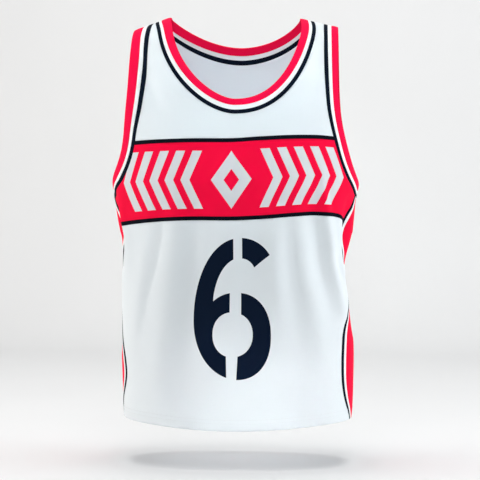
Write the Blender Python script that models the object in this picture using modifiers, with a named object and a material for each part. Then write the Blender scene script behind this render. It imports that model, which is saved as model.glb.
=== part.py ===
"""Reversible sleeveless lacrosse jersey, worn and filled out, with nobody in it.

Frame: metres, +Z up, +X to the viewer's right, the front faces -Y.
The origin is midway between the two shoulder straps, at the height of their
crest, where a wearer's shoulders carry the garment.

The cloth is described once as a sheet with two coordinates:
  s  the distance round the body, 0 at the middle of the front or back sheet,
     +-QUARTER at the side lines,
  t  the distance down the cloth from the shoulder seam.
drape() says where a point of that sheet lies on the body, folds included.
Every piece is an outline in (s, t), filled with triangles, draped, and made
into a wall with Solidify.
"""
import math

import bpy
import numpy as np
from mathutils import Vector
from mathutils.geometry import delaunay_2d_cdt

# ------------------------------------------------------------ driving sizes
CLOTH_T = 0.0012          # wall of the body cloth
RIB_T = 0.0020            # wall of the bound ribs
STRIPE_T = 0.0014         # wall of the sewn stripes
SEAM_HALF = 0.00015       # each piece stops this far short of its seam line

NECK_POINT_X = 0.1165     # half of the neck opening at the shoulder
NECK_POINT_Z = 0.012      # height of the neck point above the origin
STRAP_END_X = 0.1820      # outer end of the strap
FRONT_NECK_DROP = 0.1545  # neck point down to the front neckline's edge
BACK_NECK_DROP = 0.0396   # neck point down to the back neckline's edge
NECK_SHIFT_FRONT = 0.0080  # the worn neckline sits a little off centre
NECK_SHIFT_BACK = 0.0040
NECK_IN_RIGHT = 0.0024    # the right neck point sits this much nearer the middle
NECK_FULL_LEFT = 1.23     # fullness of each half of the front neckline
NECK_FULL_RIGHT = 0.88

CHEST_Z = -0.240          # from here down the cloth hangs upright
CREST_CLOTH = 0.300       # cloth from the shoulder seam down to CHEST_Z
CREST_POWER = 2.5         # how soon the cloth turns down over the shoulder
CREST_SLOPE = 0.3185      # shoulder slope, and its difference between sides
CREST_SLOPE_DIFF = 0.0685
CREST_TILT = 0.0019       # the right shoulder sits this much lower than the middle
CREST_ROUND = 0.050

ARMHOLE_BOTTOM_Z = -0.2830

BAND_TOP_Z = -0.2110      # upper edge of the upper tape
BAND_BOTTOM_Z = -0.3510   # lower edge of the lower tape
TAPE_W = 0.0068

HEM_SIDE_Z = -0.6990
HEM_FRONT_SAG = 0.0120
HEM_BACK_SAG = 0.0060

# Trim widths round each armhole, by the height of the armhole's edge.
ARM_TRIM = (
    # z,     rib L,  white L, navy L, rib R,  white R, navy R
    (0.000, 0.0182, 0.0086, 0.0094, 0.0122, 0.0068, 0.0066),
    (-0.110, 0.0196, 0.0080, 0.0088, 0.0114, 0.0068, 0.0074),
    (-0.150, 0.0184, 0.0080, 0.0086, 0.0112, 0.0066, 0.0072),
    (-0.200, 0.0158, 0.0064, 0.0072, 0.0118, 0.0058, 0.0062),
    (-0.235, 0.0158, 0.0064, 0.0078, 0.0132, 0.0060, 0.0056),
    (-0.268, 0.0150, 0.0072, 0.0092, 0.0144, 0.0066, 0.0066),
    (-0.283, 0.0148, 0.0074, 0.0090, 0.0146, 0.0068, 0.0068),
)
ARM_BOW_LEFT = (0.0046, -0.195, 0.075)   # how far the edge stands out, at which height, over how much
ARM_BOW_RIGHT = (0.0040, -0.222, 0.055)
SIDE_NAVY_W = 0.0065
SIDE_WHITE_W = 0.0060

SECTION_POWER = 2.30      # roundness of the body's level sections

# One row for each level section: half-widths on the viewer's left and right,
# and how far the front and the back stand off the side line.
SECTION = (
    # z,      left,   right,  front,  back
    (0.040, 0.2310, 0.2140, 0.1140, 0.1080),
    (-0.150, 0.2300, 0.2145, 0.1145, 0.1090),
    (-0.240, 0.2230, 0.2170, 0.1150, 0.1100),
    (-0.283, 0.2210, 0.2170, 0.1150, 0.1090),
    (-0.313, 0.2185, 0.2125, 0.1145, 0.1080),
    (-0.349, 0.2130, 0.2092, 0.1122, 0.1060),
    (-0.385, 0.2070, 0.2050, 0.1092, 0.1045),
    (-0.430, 0.2070, 0.1985, 0.1068, 0.1040),
    (-0.457, 0.2080, 0.1995, 0.1064, 0.1045),
    (-0.492, 0.2080, 0.2045, 0.1072, 0.1060),
    (-0.540, 0.2060, 0.2070, 0.1088, 0.1080),
    (-0.582, 0.2050, 0.2090, 0.1105, 0.1090),
    (-0.636, 0.2030, 0.2080, 0.1124, 0.1095),
    (-0.671, 0.2020, 0.2070, 0.1137, 0.1095),
    (-0.699, 0.2000, 0.2045, 0.1146, 0.1090),
    (-0.730, 0.1990, 0.2035, 0.1152, 0.1085),
)

# Side insert: distance round the body from the side line to the insert's
# outer edge, piping included.
SIDE_INSERT = (
    # z,     front L, front R, back
    (-0.290, 0.0160, 0.0150, 0.0155),
    (-0.312, 0.0205, 0.0220, 0.0200),
    (-0.331, 0.0315, 0.0340, 0.0310),
    (-0.350, 0.0415, 0.0430, 0.0410),
    (-0.372, 0.0430, 0.0510, 0.0480),
    (-0.389, 0.0335, 0.0490, 0.0455),
    (-0.408, 0.0250, 0.0360, 0.0345),
    (-0.425, 0.0220, 0.0270, 0.0270),
    (-0.457, 0.0220, 0.0240, 0.0240),
    (-0.492, 0.0250, 0.0270, 0.0250),
    (-0.528, 0.0290, 0.0480, 0.0370),
    (-0.558, 0.0390, 0.0590, 0.0500),
    (-0.590, 0.0520, 0.0620, 0.0580),
    (-0.620, 0.0565, 0.0610, 0.0590),
    (-0.645, 0.0470, 0.0570, 0.0500),
    (-0.671, 0.0290, 0.0470, 0.0370),
    (-0.699, 0.0200, 0.0260, 0.0220),
    (-0.730, 0.0180, 0.0190, 0.0180),
)

# The largest folds: ridges (height above 0) and troughs (below 0), each a
# line down the cloth with its place at the top, middle and bottom.
FOLDS = (
    # sheet, s top,  s mid,   s bottom, z top,  z bottom, height, half-width
    # side folds below the armholes: a rolled ridge with a groove behind it
    ("front", 0.1480, 0.1840, 0.2160, -0.285, -0.530, 0.0092, 0.0145),
    ("front", 0.2200, 0.2160, 0.2190, -0.300, -0.455, -0.0098, 0.0160),
    ("front", -0.2040, -0.2030, -0.2060, -0.280, -0.450, 0.0070, 0.0140),
    ("front", -0.2260, -0.2240, -0.2270, -0.295, -0.440, -0.0088, 0.0165),
    # the side seams draw in at the waist
    ("front", 0.2620, 0.2620, 0.2620, -0.370, -0.560, -0.0080, 0.0300),
    ("front", -0.2620, -0.2620, -0.2620, -0.370, -0.590, -0.0080, 0.0300),
    ("back", 0.1900, 0.1860, 0.1830, -0.290, -0.480, 0.0070, 0.0160),
    ("back", 0.2220, 0.2180, 0.2160, -0.300, -0.465, -0.0080, 0.0160),
    ("back", -0.1930, -0.1880, -0.1860, -0.285, -0.470, 0.0065, 0.0160),
    ("back", -0.2230, -0.2190, -0.2180, -0.300, -0.450, -0.0075, 0.0160),
    # long soft folds of the lower front
    ("front", -0.1250, -0.1650, -0.1850, -0.300, -0.600, 0.0024, 0.0150),
    ("front", -0.1030, -0.1390, -0.1810, -0.300, -0.600, -0.0017, 0.0092),
    ("front", -0.0840, -0.1125, -0.1430, -0.300, -0.680, 0.0052, 0.0240),
    ("front", -0.0570, -0.0660, -0.0780, -0.300, -0.680, -0.0058, 0.0240),
    ("front", -0.0028, -0.0060, -0.0100, -0.320, -0.640, 0.0028, 0.0220),
    ("front", 0.0400, 0.0400, 0.0400, -0.320, -0.600, -0.0018, 0.0180),
    ("front", 0.0710, 0.0820, 0.0870, -0.300, -0.620, 0.0048, 0.0170),
    ("front", 0.0900, 0.1115, 0.1270, -0.300, -0.640, -0.0014, 0.0130),
    ("front", 0.1090, 0.1410, 0.1750, -0.300, -0.660, 0.0036, 0.0190),
    ("front", 0.1270, 0.1640, 0.1890, -0.300, -0.560, -0.0056, 0.0190),
    ("front", 0.1980, 0.2080, 0.2110, -0.420, -0.540, 0.0016, 0.0110),
    # the same kind of folds on the back
    ("back", -0.0950, -0.0800, -0.0880, -0.300, -0.690, 0.0055, 0.0220),
    ("back", -0.0420, -0.0380, -0.0500, -0.340, -0.660, -0.0050, 0.0240),
    ("back", 0.0550, 0.0680, 0.0600, -0.310, -0.690, 0.0050, 0.0230),
    ("back", 0.1050, 0.1200, 0.1120, -0.340, -0.640, -0.0045, 0.0200),
    ("back", -0.1380, -0.1350, -0.1450, -0.350, -0.650, -0.0045, 0.0180),
    # soft drag lines from the straps
    ("front", -0.1500, -0.1350, -0.1150, -0.030, -0.170, -0.0025, 0.0140),
    ("front", 0.1560, 0.1450, 0.1300, -0.030, -0.160, -0.0020, 0.0130),
    ("back", -0.1400, -0.1200, -0.0950, -0.050, -0.210, -0.0030, 0.0160),
    ("back", 0.1400, 0.1200, 0.0950, -0.050, -0.210, -0.0030, 0.0160),
)

# Trim widths round the neck, from the shoulder to the middle.
NECK_TRIM = (
    # piece,  left shoulder, right shoulder, front middle, back middle
    ("rib", 0.0176, 0.0144, 0.0107, 0.0152),
    ("white", 0.0044, 0.0048, 0.0080, 0.0086),
    ("navy", 0.0064, 0.0066, 0.0068, 0.0098),
)

# How far the band's seams wander up or down, by the distance round the body.
BAND_WAVE = (
    # s,     upper,   lower
    (0.240, 0.0000, -0.0070),
    (0.215, 0.0000, -0.0060),
    (0.190, 0.0005, 0.0020),
    (0.170, 0.0020, 0.0048),
    (0.140, 0.0040, 0.0062),
    (0.100, 0.0045, 0.0050),
    (0.050, 0.0030, 0.0020),
    (0.000, 0.0000, 0.0000),
    (-0.080, -0.0005, -0.0010),
    (-0.170, -0.0010, -0.0045),
    (-0.200, -0.0010, -0.0058),
    (-0.240, -0.0010, -0.0065),
)

COLOURS = {
    # name: base colour, roughness
    "white": ((0.82, 0.85, 0.88, 1.0), 0.75),
    "red": ((0.86, 0.010, 0.075, 1.0), 0.70),
    "navy": ((0.008, 0.016, 0.035, 1.0), 0.75),
}

# mesh fineness
NECK_FRONT_STEPS = 27
NECK_BACK_STEPS = 16
ARM_STEPS = 17            # for each branch, front and back
PANEL_STEP = 0.0275
SIDE_STEP = 0.0180
BORDER = 0.0035           # a row of points just inside each panel's edge


# ------------------------------------------------------------- small tools
def smooth_table(rows, column, z):
    """Smooth curve through one column of a table whose first column falls."""
    zs = np.array([-row[0] for row in rows])
    vs = np.array([row[column] for row in rows])
    x = np.clip(-np.asarray(z, float), zs[0], zs[-1])
    step = np.diff(zs)
    rise = np.diff(vs) / step
    slope = np.zeros(len(zs))
    both = rise[:-1] * rise[1:]
    mean = np.where(both > 0, 2 * both / np.where(both > 0, rise[:-1] + rise[1:], 1), 0)
    slope[1:-1] = mean
    slope[0], slope[-1] = rise[0], rise[-1]
    i = np.clip(np.searchsorted(zs, x) - 1, 0, len(zs) - 2)
    u = (x - zs[i]) / step[i]
    return (vs[i] * (1 + 2 * u) * (1 - u) ** 2 + slope[i] * step[i] * u * (1 - u) ** 2
            + vs[i + 1] * u * u * (3 - 2 * u) + slope[i + 1] * step[i] * u * u * (u - 1))


def running_length(points):
    seg = np.linalg.norm(np.diff(points, axis=0), axis=1)
    return np.concatenate([[0.0], np.cumsum(seg)])


def resample(points, steps):
    """The same polyline with equal steps."""
    length = running_length(points)
    at = np.linspace(0.0, length[-1], steps + 1)
    return np.stack([np.interp(at, length, points[:, k]) for k in range(points.shape[1])], axis=1)


# level section: a superellipse, read by distance round it
_ang = np.linspace(0.0, math.pi / 2, 6001)
_sec = np.stack([np.sin(_ang) ** (2 / SECTION_POWER), np.cos(_ang) ** (2 / SECTION_POWER)], axis=1)
_arc = running_length(_sec * np.array([0.207, 0.112]))
QUARTER = float(_arc[-1])          # cloth from the middle of the front to the side line

# cloth over the shoulder: level at the seam, upright at CREST_CLOTH
_t = np.linspace(0.0, CREST_CLOTH, 3001)
_phi = 0.5 * math.pi * (1 - (1 - _t / CREST_CLOTH) ** CREST_POWER)
_fwd = np.concatenate([[0.0], np.cumsum(0.5 * (np.cos(_phi[1:]) + np.cos(_phi[:-1])))])
_fall = np.concatenate([[0.0], np.cumsum(0.5 * (np.sin(_phi[1:]) + np.sin(_phi[:-1])))])
_fwd /= _fwd[-1]
_fall /= _fall[-1]


def crest_z(s):
    """Height of the shoulder seam line over the point s."""
    x = 0.2205 * np.interp(np.abs(s), _arc, _sec[:, 0])
    slope = CREST_SLOPE - CREST_SLOPE_DIFF * np.tanh(np.asarray(s) / 0.04)
    low = CREST_TILT * (1.0 + np.tanh(np.asarray(s) / 0.04))
    return NECK_POINT_Z - low - slope * (np.hypot(x, CREST_ROUND) - math.hypot(NECK_POINT_X, CREST_ROUND))


def z_of(s, t):
    t = np.abs(t)
    top = crest_z(s)
    return top - (top - CHEST_Z) * np.interp(t, _t, _fall) - np.maximum(t - CREST_CLOTH, 0.0)


def t_of(s, z):
    """Distance down the cloth at which it passes the height z."""
    top = crest_z(s)
    part = np.clip((top - z) / (top - CHEST_Z), 0.0, 1.0)
    return np.interp(part, _fall, _t) + np.maximum(CHEST_Z - z, 0.0)


def s_of(x, z):
    """Distance round the body of the front-view point (x, z), above the side line."""
    half = np.where(np.asarray(x) > 0, smooth_table(SECTION, 2, z), smooth_table(SECTION, 1, z))
    g = np.clip(np.abs(x) / half, 0.0, 1.0)
    return np.sign(x) * np.interp(g, _sec[:, 0], _arc)


def body(sheet, s, t):
    """The smooth body form. sheet is +1 on the front and -1 on the back."""
    sheet = np.asarray(sheet, float) * np.where(t < 0, -1.0, 1.0)
    t = np.abs(t)
    over = np.abs(s) > QUARTER
    sheet = np.where(over, -sheet, sheet)
    q = np.where(over, 2 * QUARTER - np.abs(s), np.abs(s))
    side = np.where(s < 0, -1.0, 1.0)
    g = np.interp(q, _arc, _sec[:, 0])
    h = np.interp(q, _arc, _sec[:, 1])
    z = z_of(side * q, t)
    half = np.where(side > 0, smooth_table(SECTION, 2, z), smooth_table(SECTION, 1, z))
    deep = np.where(sheet > 0, smooth_table(SECTION, 3, z), smooth_table(SECTION, 4, z))
    y = -sheet * deep * h * np.interp(t, _t, _fwd)
    return np.stack([side * half * g, y, z], axis=-1)


def fold_height(sheet, s, t):
    over = np.abs(s) > QUARTER
    here = np.where(over, -np.asarray(sheet, float), np.asarray(sheet, float))
    here = here * np.where(t < 0, -1.0, 1.0)
    side = np.where(s < 0, -1.0, 1.0)
    q = side * np.where(over, 2 * QUARTER - np.abs(s), np.abs(s))
    z = z_of(q, t)
    total = np.zeros(np.shape(z))
    for where, s_top, s_mid, s_low, z_top, z_low, height, width in FOLDS:
        down = np.clip((z_top - z) / (z_top - z_low), 0.0, 1.0)
        line = (s_top * (1 - down) * (1 - 2 * down) + 4 * s_mid * down * (1 - down)
                + s_low * down * (2 * down - 1))
        swell = np.sin(math.pi * down) ** 0.8 * (1 - 0.25 * down)
        # measured round the side line as well, so a fold near it stays whole
        on_sheet = 1.0 if where == "front" else -1.0
        away = np.where(here == on_sheet, q - line,
                        np.where(line > 0, 2 * QUARTER - q - line, -2 * QUARTER - q - line))
        total = total + height * swell * np.exp(-(away / width) ** 2)
    return total


def drape(sheet, s, t):
    """Where a point of the cloth lies, and its outward direction."""
    sheet, s, t = np.broadcast_arrays(np.asarray(sheet, float), np.asarray(s, float), np.asarray(t, float))
    d = 0.0008
    ds = body(sheet, s + d, t) - body(sheet, s - d, t)
    dt = body(sheet, s, t + d) - body(sheet, s, t - d)
    out = -sheet[..., None] * np.cross(ds, dt)
    out /= np.linalg.norm(out, axis=-1, keepdims=True)
    return body(sheet, s, t) + out * fold_height(sheet, s, t)[..., None], out


# ---------------------------------------------------------- the seam lines
def march(sheet, s, t, step_s, step_t, distance):
    """Move over the cloth in the given direction by a real distance."""
    s, t = np.array(s, float), np.array(t, float)
    norm = np.hypot(step_s, step_t)
    step_s, step_t = step_s / norm, step_t / norm
    parts = 6
    for _ in range(parts):
        ahead = body(sheet, s + step_s * 0.001, t + step_t * 0.001)
        stretch = np.linalg.norm(ahead - body(sheet, s, t), axis=-1) / 0.001
        s = s + step_s * distance / parts / stretch
        t = t + step_t * distance / parts / stretch
    return s, t


def edge_normals(points, hole):
    """Directions in the cloth square to an edge line, away from the hole."""
    tangent = np.gradient(points, axis=0)
    normal = np.stack([tangent[:, 1], -tangent[:, 0]], axis=1)
    away = points - np.array(hole)
    flip = np.sign(np.sum(normal * away, axis=1))
    normal *= np.where(flip == 0, 1, flip)[:, None]
    return normal / np.linalg.norm(normal, axis=1, keepdims=True)


def neck_branch(sheet, steps):
    """Half of the neckline, from the right neck point to the left one."""
    th = np.linspace(0.0, math.pi, 1601)
    c, sn = np.cos(th), np.sin(th)
    if sheet > 0:
        full = np.where(c > 0, NECK_FULL_RIGHT, NECK_FULL_LEFT)
        wide, down = np.sign(c) * np.abs(c) ** full, np.abs(sn) ** 1.08
        drop, shift = FRONT_NECK_DROP, NECK_SHIFT_FRONT * np.tanh(down / 0.12)
    else:
        wide, down = np.sign(c) * np.abs(c) ** 1.06, np.abs(sn) ** 1.82
        drop, shift = BACK_NECK_DROP, NECK_SHIFT_BACK * down
    x = (NECK_POINT_X - NECK_IN_RIGHT * (c > 0)) * wide + shift
    z = NECK_POINT_Z - CREST_TILT * (1.0 + wide) - drop * down
    s = s_of(x, z)
    t = t_of(s, z)
    t[0] = t[-1] = 0.0
    line = resample(np.stack([s, t], axis=1), steps)
    normal = edge_normals(line, (0.0, 0.0))
    normal[0], normal[-1] = (1.0, 0.0), (-1.0, 0.0)
    return line, normal


def arm_branch(side, sheet, steps):
    """Half of an armhole's edge, from the shoulder to the side line (s > 0)."""
    th = np.linspace(0.0, math.pi / 2, 1601)
    end_s = float(s_of(side * STRAP_END_X, 0.0)) * side
    reach = QUARTER - end_s
    if sheet < 0:
        reach_mid = 0.93
    else:
        reach_mid = 1.0
    z_top = float(crest_z(side * end_s))
    down = np.sin(th) ** 0.40
    s = QUARTER - reach * np.cos(th) ** 1.25 * (1 - (1 - reach_mid) * down ** 2)
    z = z_top - (z_top - ARMHOLE_BOTTOM_Z) * down
    far, at, over = ARM_BOW_LEFT if side < 0 else ARM_BOW_RIGHT
    s = s + far * np.exp(-((z - at) / over) ** 2) * (1 - np.sin(th) ** 8)
    t = t_of(side * s, z)
    t[0] = 0.0
    line = resample(np.stack([s, t], axis=1), steps)
    normal = edge_normals(line, (QUARTER + 0.02, 0.12))
    normal[0], normal[-1] = (-1.0, 0.0), (0.0, 1.0)
    return line, normal


def neck_width(piece, steps, sheet):
    """Summed trim width from the neck edge, at each step of a branch."""
    u = np.linspace(-1.0, 1.0, steps + 1)
    total = np.zeros(steps + 1)
    for name, left, right, front, back in NECK_TRIM:
        middle = front if sheet > 0 else back
        shoulder = np.where(u < 0, right, left)
        total = total + middle + (shoulder - middle) * np.abs(u) ** 1.3
        if name == piece:
            return total
    return total * 0.0


def neck_line(sheet, piece, gap):
    """Seam line on the outer side of a neck trim, moved outward by gap."""
    steps = NECK_FRONT_STEPS if sheet > 0 else NECK_BACK_STEPS
    line, normal = neck_branch(sheet, steps)
    width = neck_width(piece, steps, sheet) + gap
    s, t = march(sheet, line[:, 0], line[:, 1], normal[:, 0], normal[:, 1], width)
    return np.stack([s, t], axis=1)


def arm_width(side, line, piece):
    """Summed trim width from the armhole's edge, at each point of a branch."""
    z = z_of(side * line[:, 0], line[:, 1])
    total = np.zeros(len(line))
    for column, name in enumerate(("rib", "white", "navy")):
        total = total + smooth_table(ARM_TRIM, column + (1 if side < 0 else 4), z)
        if name == piece:
            return total
    return total * 0.0


def arm_line(side, sheet, piece, gap):
    line, normal = arm_branch(side, sheet, ARM_STEPS)
    s, t = march(sheet, side * line[:, 0], line[:, 1], side * normal[:, 0], normal[:, 1],
                 arm_width(side, line, piece) + gap)
    return np.stack([side * s, t], axis=1)


def insert_line(side, sheet, inward, t):
    """Distance from the side line to a line of the side insert, for each t."""
    z = CHEST_Z - (np.asarray(t) - CREST_CLOTH)
    column = 3 if sheet < 0 else (1 if side < 0 else 2)
    return smooth_table(SIDE_INSERT, column, z) - inward


def hem_t(sheet, s):
    sag = HEM_FRONT_SAG if sheet > 0 else HEM_BACK_SAG
    lift = 0.5 + 0.5 * np.cos(math.pi * np.clip(np.abs(s) / QUARTER, 0, 1))
    return CREST_CLOTH + CHEST_Z - HEM_SIDE_Z + sag * lift


def level_t(s, z):
    """t of one of the band's seams, which wave gently."""
    low = (BAND_TOP_Z - z) / (BAND_TOP_Z - BAND_BOTTOM_Z)
    wave = 0.0012 * np.sin(s * 21.0 + 0.6) - 0.0022 * s / QUARTER
    move = (1 - low) * smooth_table(BAND_WAVE, 1, s) + low * smooth_table(BAND_WAVE, 2, s)
    return t_of(s, z - wave + move)


def cut(points, value):
    """The part of a polyline where value() is above 0, cut where it changes."""
    v = value(points)
    keep = []
    for i in range(len(points)):
        if i and (v[i] > 0) != (v[i - 1] > 0):
            u = v[i - 1] / (v[i - 1] - v[i])
            keep.append(points[i - 1] + u * (points[i] - points[i - 1]))
        if v[i] > 0:
            keep.append(points[i])
    return np.array(keep)


SIDE_T = np.arange(CREST_CLOTH + 0.052, CREST_CLOTH + 0.47, SIDE_STEP)


def rows_below(side, sheet, inward):
    """The SIDE_T rows that an insert line has below the armhole's seam line."""
    arm = arm_line(side, sheet, "navy", 0.0)
    arm = cut(arm, lambda p: (QUARTER - p[:, 0]) - insert_line(side, sheet, inward, p[:, 1]))
    return SIDE_T > arm[-1, 1] + 0.005


def side_edge(side, sheet, gap):
    """A panel's side edge, shoulder to hem, s > 0: the armhole seam, then the insert's."""
    arm = arm_line(side, sheet, "navy", gap)
    away = lambda p: (QUARTER - p[:, 0]) - insert_line(side, sheet, 0.0, p[:, 1]) - gap
    arm = cut(arm, away)
    below = np.stack([QUARTER - insert_line(side, sheet, 0.0, SIDE_T) - gap, SIDE_T], axis=1)
    below = below[rows_below(side, sheet, 0.0)]
    below = cut(below, lambda p: hem_t(sheet, p[:, 0]) - p[:, 1])
    end_t = float(hem_t(sheet, below[-1, 0]))
    if below[-1, 1] < end_t - 0.0005:
        end_s = QUARTER - float(insert_line(side, sheet, 0.0, np.array([end_t]))[0]) - gap
        if below[-1, 1] > end_t - 0.006:
            below = below[:-1]
        below = np.vstack([below, [end_s, end_t]])
    else:
        below[-1, 1] = end_t
    return np.vstack([arm, below])


def level_line(s_from, s_to, z, gap):
    """Points along a level seam between two s values, ends left out."""
    step = PANEL_STEP * 0.8
    k = np.arange(math.ceil((s_from + 0.45 * step) / step), math.floor((s_to - 0.45 * step) / step) + 1)
    s = np.concatenate([[s_from + 0.005], k * step, [s_to - 0.005]])
    return np.stack([s, level_t(s, z) + gap], axis=1)


# ------------------------------------------------------------------ meshes
def inside(points, outline):
    x, y = points[:, 0][:, None], points[:, 1][:, None]
    x0, y0 = outline[:, 0][None], outline[:, 1][None]
    x1, y1 = np.roll(outline[:, 0], -1)[None], np.roll(outline[:, 1], -1)[None]
    with np.errstate(divide="ignore", invalid="ignore"):
        crosses = ((y0 > y) != (y1 > y)) & (x < (x1 - x0) * (y - y0) / (y1 - y0) + x0)
    return crosses.sum(axis=1) % 2 == 1


def clearance(points, outline):
    p0, p1 = outline, np.roll(outline, -1, axis=0)
    d = p1 - p0
    best = np.full(len(points), 9.0)
    for a, v in zip(p0, d):
        u = np.clip(((points - a) @ v) / max(v @ v, 1e-12), 0, 1)
        best = np.minimum(best, np.linalg.norm(points - a - u[:, None] * v, axis=1))
    return best


def fill(outline, step, border):
    """Triangles inside an outline of the flat cloth."""
    outline = np.asarray(outline, float)
    low, high = outline.min(axis=0), outline.max(axis=0)
    rows = np.arange(low[1] + 0.4 * step, high[1], step * 0.866)
    lattice = []
    for r, t in enumerate(rows):
        start = low[0] + (0.5 * step if r % 2 else 0.0)
        lattice.extend((s, t) for s in np.arange(start, high[0], step))
    lattice = np.array(lattice) if lattice else np.zeros((0, 2))
    extra = []
    if border > 0:
        before, after = np.roll(outline, 1, axis=0), np.roll(outline, -1, axis=0)
        tangent = after - before
        normal = np.stack([-tangent[:, 1], tangent[:, 0]], axis=1)
        normal /= np.linalg.norm(normal, axis=1, keepdims=True) + 1e-12
        for sign in (1.0, -1.0):
            trial = outline + sign * border * normal
            ok = inside(trial, outline) & (clearance(trial, outline) > 0.8 * border)
            extra.extend(trial[ok])
    if len(lattice):
        reach = border + 0.45 * step if border > 0 else 0.5 * step
        lattice = lattice[inside(lattice, outline)]
    if len(lattice):
        lattice = lattice[clearance(lattice, outline) > reach]
    points = [Vector(p) for p in outline] + [Vector(p) for p in extra] + [Vector(p) for p in lattice]
    n = len(outline)
    edges = [(i, (i + 1) % n) for i in range(n)]
    verts, _, faces, _, _, _ = delaunay_2d_cdt(points, edges, [], 1, 1e-7)
    return np.array([(v[0], v[1]) for v in verts]), [tuple(f) for f in faces]


def add_piece(name, colour, verts, faces, out, thick, collection):
    """One piece: its middle surface, then a wall with Solidify."""
    verts = np.asarray(verts)
    agree = 0.0
    for f in faces:
        a, b, c = verts[f[0]], verts[f[1]], verts[f[2]]
        agree += float(np.cross(b - a, c - a) @ out[f[0]])
    if agree < 0:
        faces = [tuple(reversed(f)) for f in faces]
    mesh = bpy.data.meshes.new(name)
    mesh.from_pydata([tuple(v) for v in verts], [], faces)
    mesh.validate()
    mesh.shade_smooth()
    obj = bpy.data.objects.new(name, mesh)
    collection.objects.link(obj)
    mesh.materials.append(material(name, colour))
    wall = obj.modifiers.new("wall", "SOLIDIFY")
    wall.thickness = thick
    wall.offset = 0.0
    wall.use_rim = True
    return obj


def material(name, colour):
    base, rough = COLOURS[colour]
    mat = bpy.data.materials.new(name + "_cloth")
    mat.use_nodes = True
    shader = mat.node_tree.nodes["Principled BSDF"]
    shader.inputs["Base Color"].default_value = base
    shader.inputs["Roughness"].default_value = rough
    shader.inputs["Metallic"].default_value = 0.0
    mat.diffuse_color = base
    return mat


def panel(name, colour, sheet, outline, collection, step=PANEL_STEP, border=BORDER):
    """A piece that lies on the front or the back sheet."""
    flat, faces = fill(outline, step, border)
    pos, out = drape(sheet, flat[:, 0], flat[:, 1])
    return add_piece(name, colour, pos, faces, out, CLOTH_T, collection)


def side_piece(name, colour, side, outline, collection, thick, border):
    """A piece in the side chart: S runs from the front round to the back."""
    flat, faces = fill(outline, 0.016, border)
    front = flat[:, 0] <= QUARTER
    sheet = np.where(front, 1.0, -1.0)
    s = side * np.where(front, flat[:, 0], 2 * QUARTER - flat[:, 0])
    pos, out = drape(sheet, s, flat[:, 1])
    return add_piece(name, colour, pos, faces, out, thick, collection)


def ring(name, colour, loops, thick, collection):
    """A closed band between loops, each a list of (sheet, s, t) points."""
    verts, outs, faces = [], [], []
    for sheet, s, t in loops:
        pos, out = drape(sheet, s, t)
        verts.append(pos)
        outs.append(out)
    n = len(verts[0])
    for j in range(len(loops) - 1):
        for k in range(n):
            a, b = j * n + k, j * n + (k + 1) % n
            faces.append((a, b, b + n, a + n))
    return add_piece(name, colour, np.vstack(verts), faces, np.vstack(outs), thick, collection)


def neck_loop(piece, gap):
    """One closed line round the neck opening."""
    front = neck_line(1.0, piece, gap)
    back = neck_line(-1.0, piece, gap)[::-1]
    sheet = np.concatenate([np.ones(len(front)), -np.ones(len(back) - 2)])
    s = np.concatenate([front[:, 0], back[1:-1, 0]])
    t = np.concatenate([front[:, 1], back[1:-1, 1]])
    return sheet, s, t


def arm_loop(side, piece, gap):
    """One closed line round an armhole."""
    front = arm_line(side, 1.0, piece, gap)
    back = arm_line(side, -1.0, piece, gap)[::-1]
    sheet = np.concatenate([np.ones(len(front)), -np.ones(len(back) - 2)])
    s = side * np.concatenate([front[:, 0], back[1:-1, 0]])
    t = np.concatenate([front[:, 1], back[1:-1, 1]])
    return sheet, s, t


# ------------------------------------------------------------------ pieces
def shoulder_points(side):
    """Points along the shoulder seam, neck side first."""
    neck = neck_line(1.0, "navy", SEAM_HALF)
    s0 = neck[0, 0] if side > 0 else neck[-1, 0]
    s1 = side * arm_line(side, 1.0, "navy", SEAM_HALF)[0, 0]
    return np.linspace(s0, s1, 3)


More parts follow.
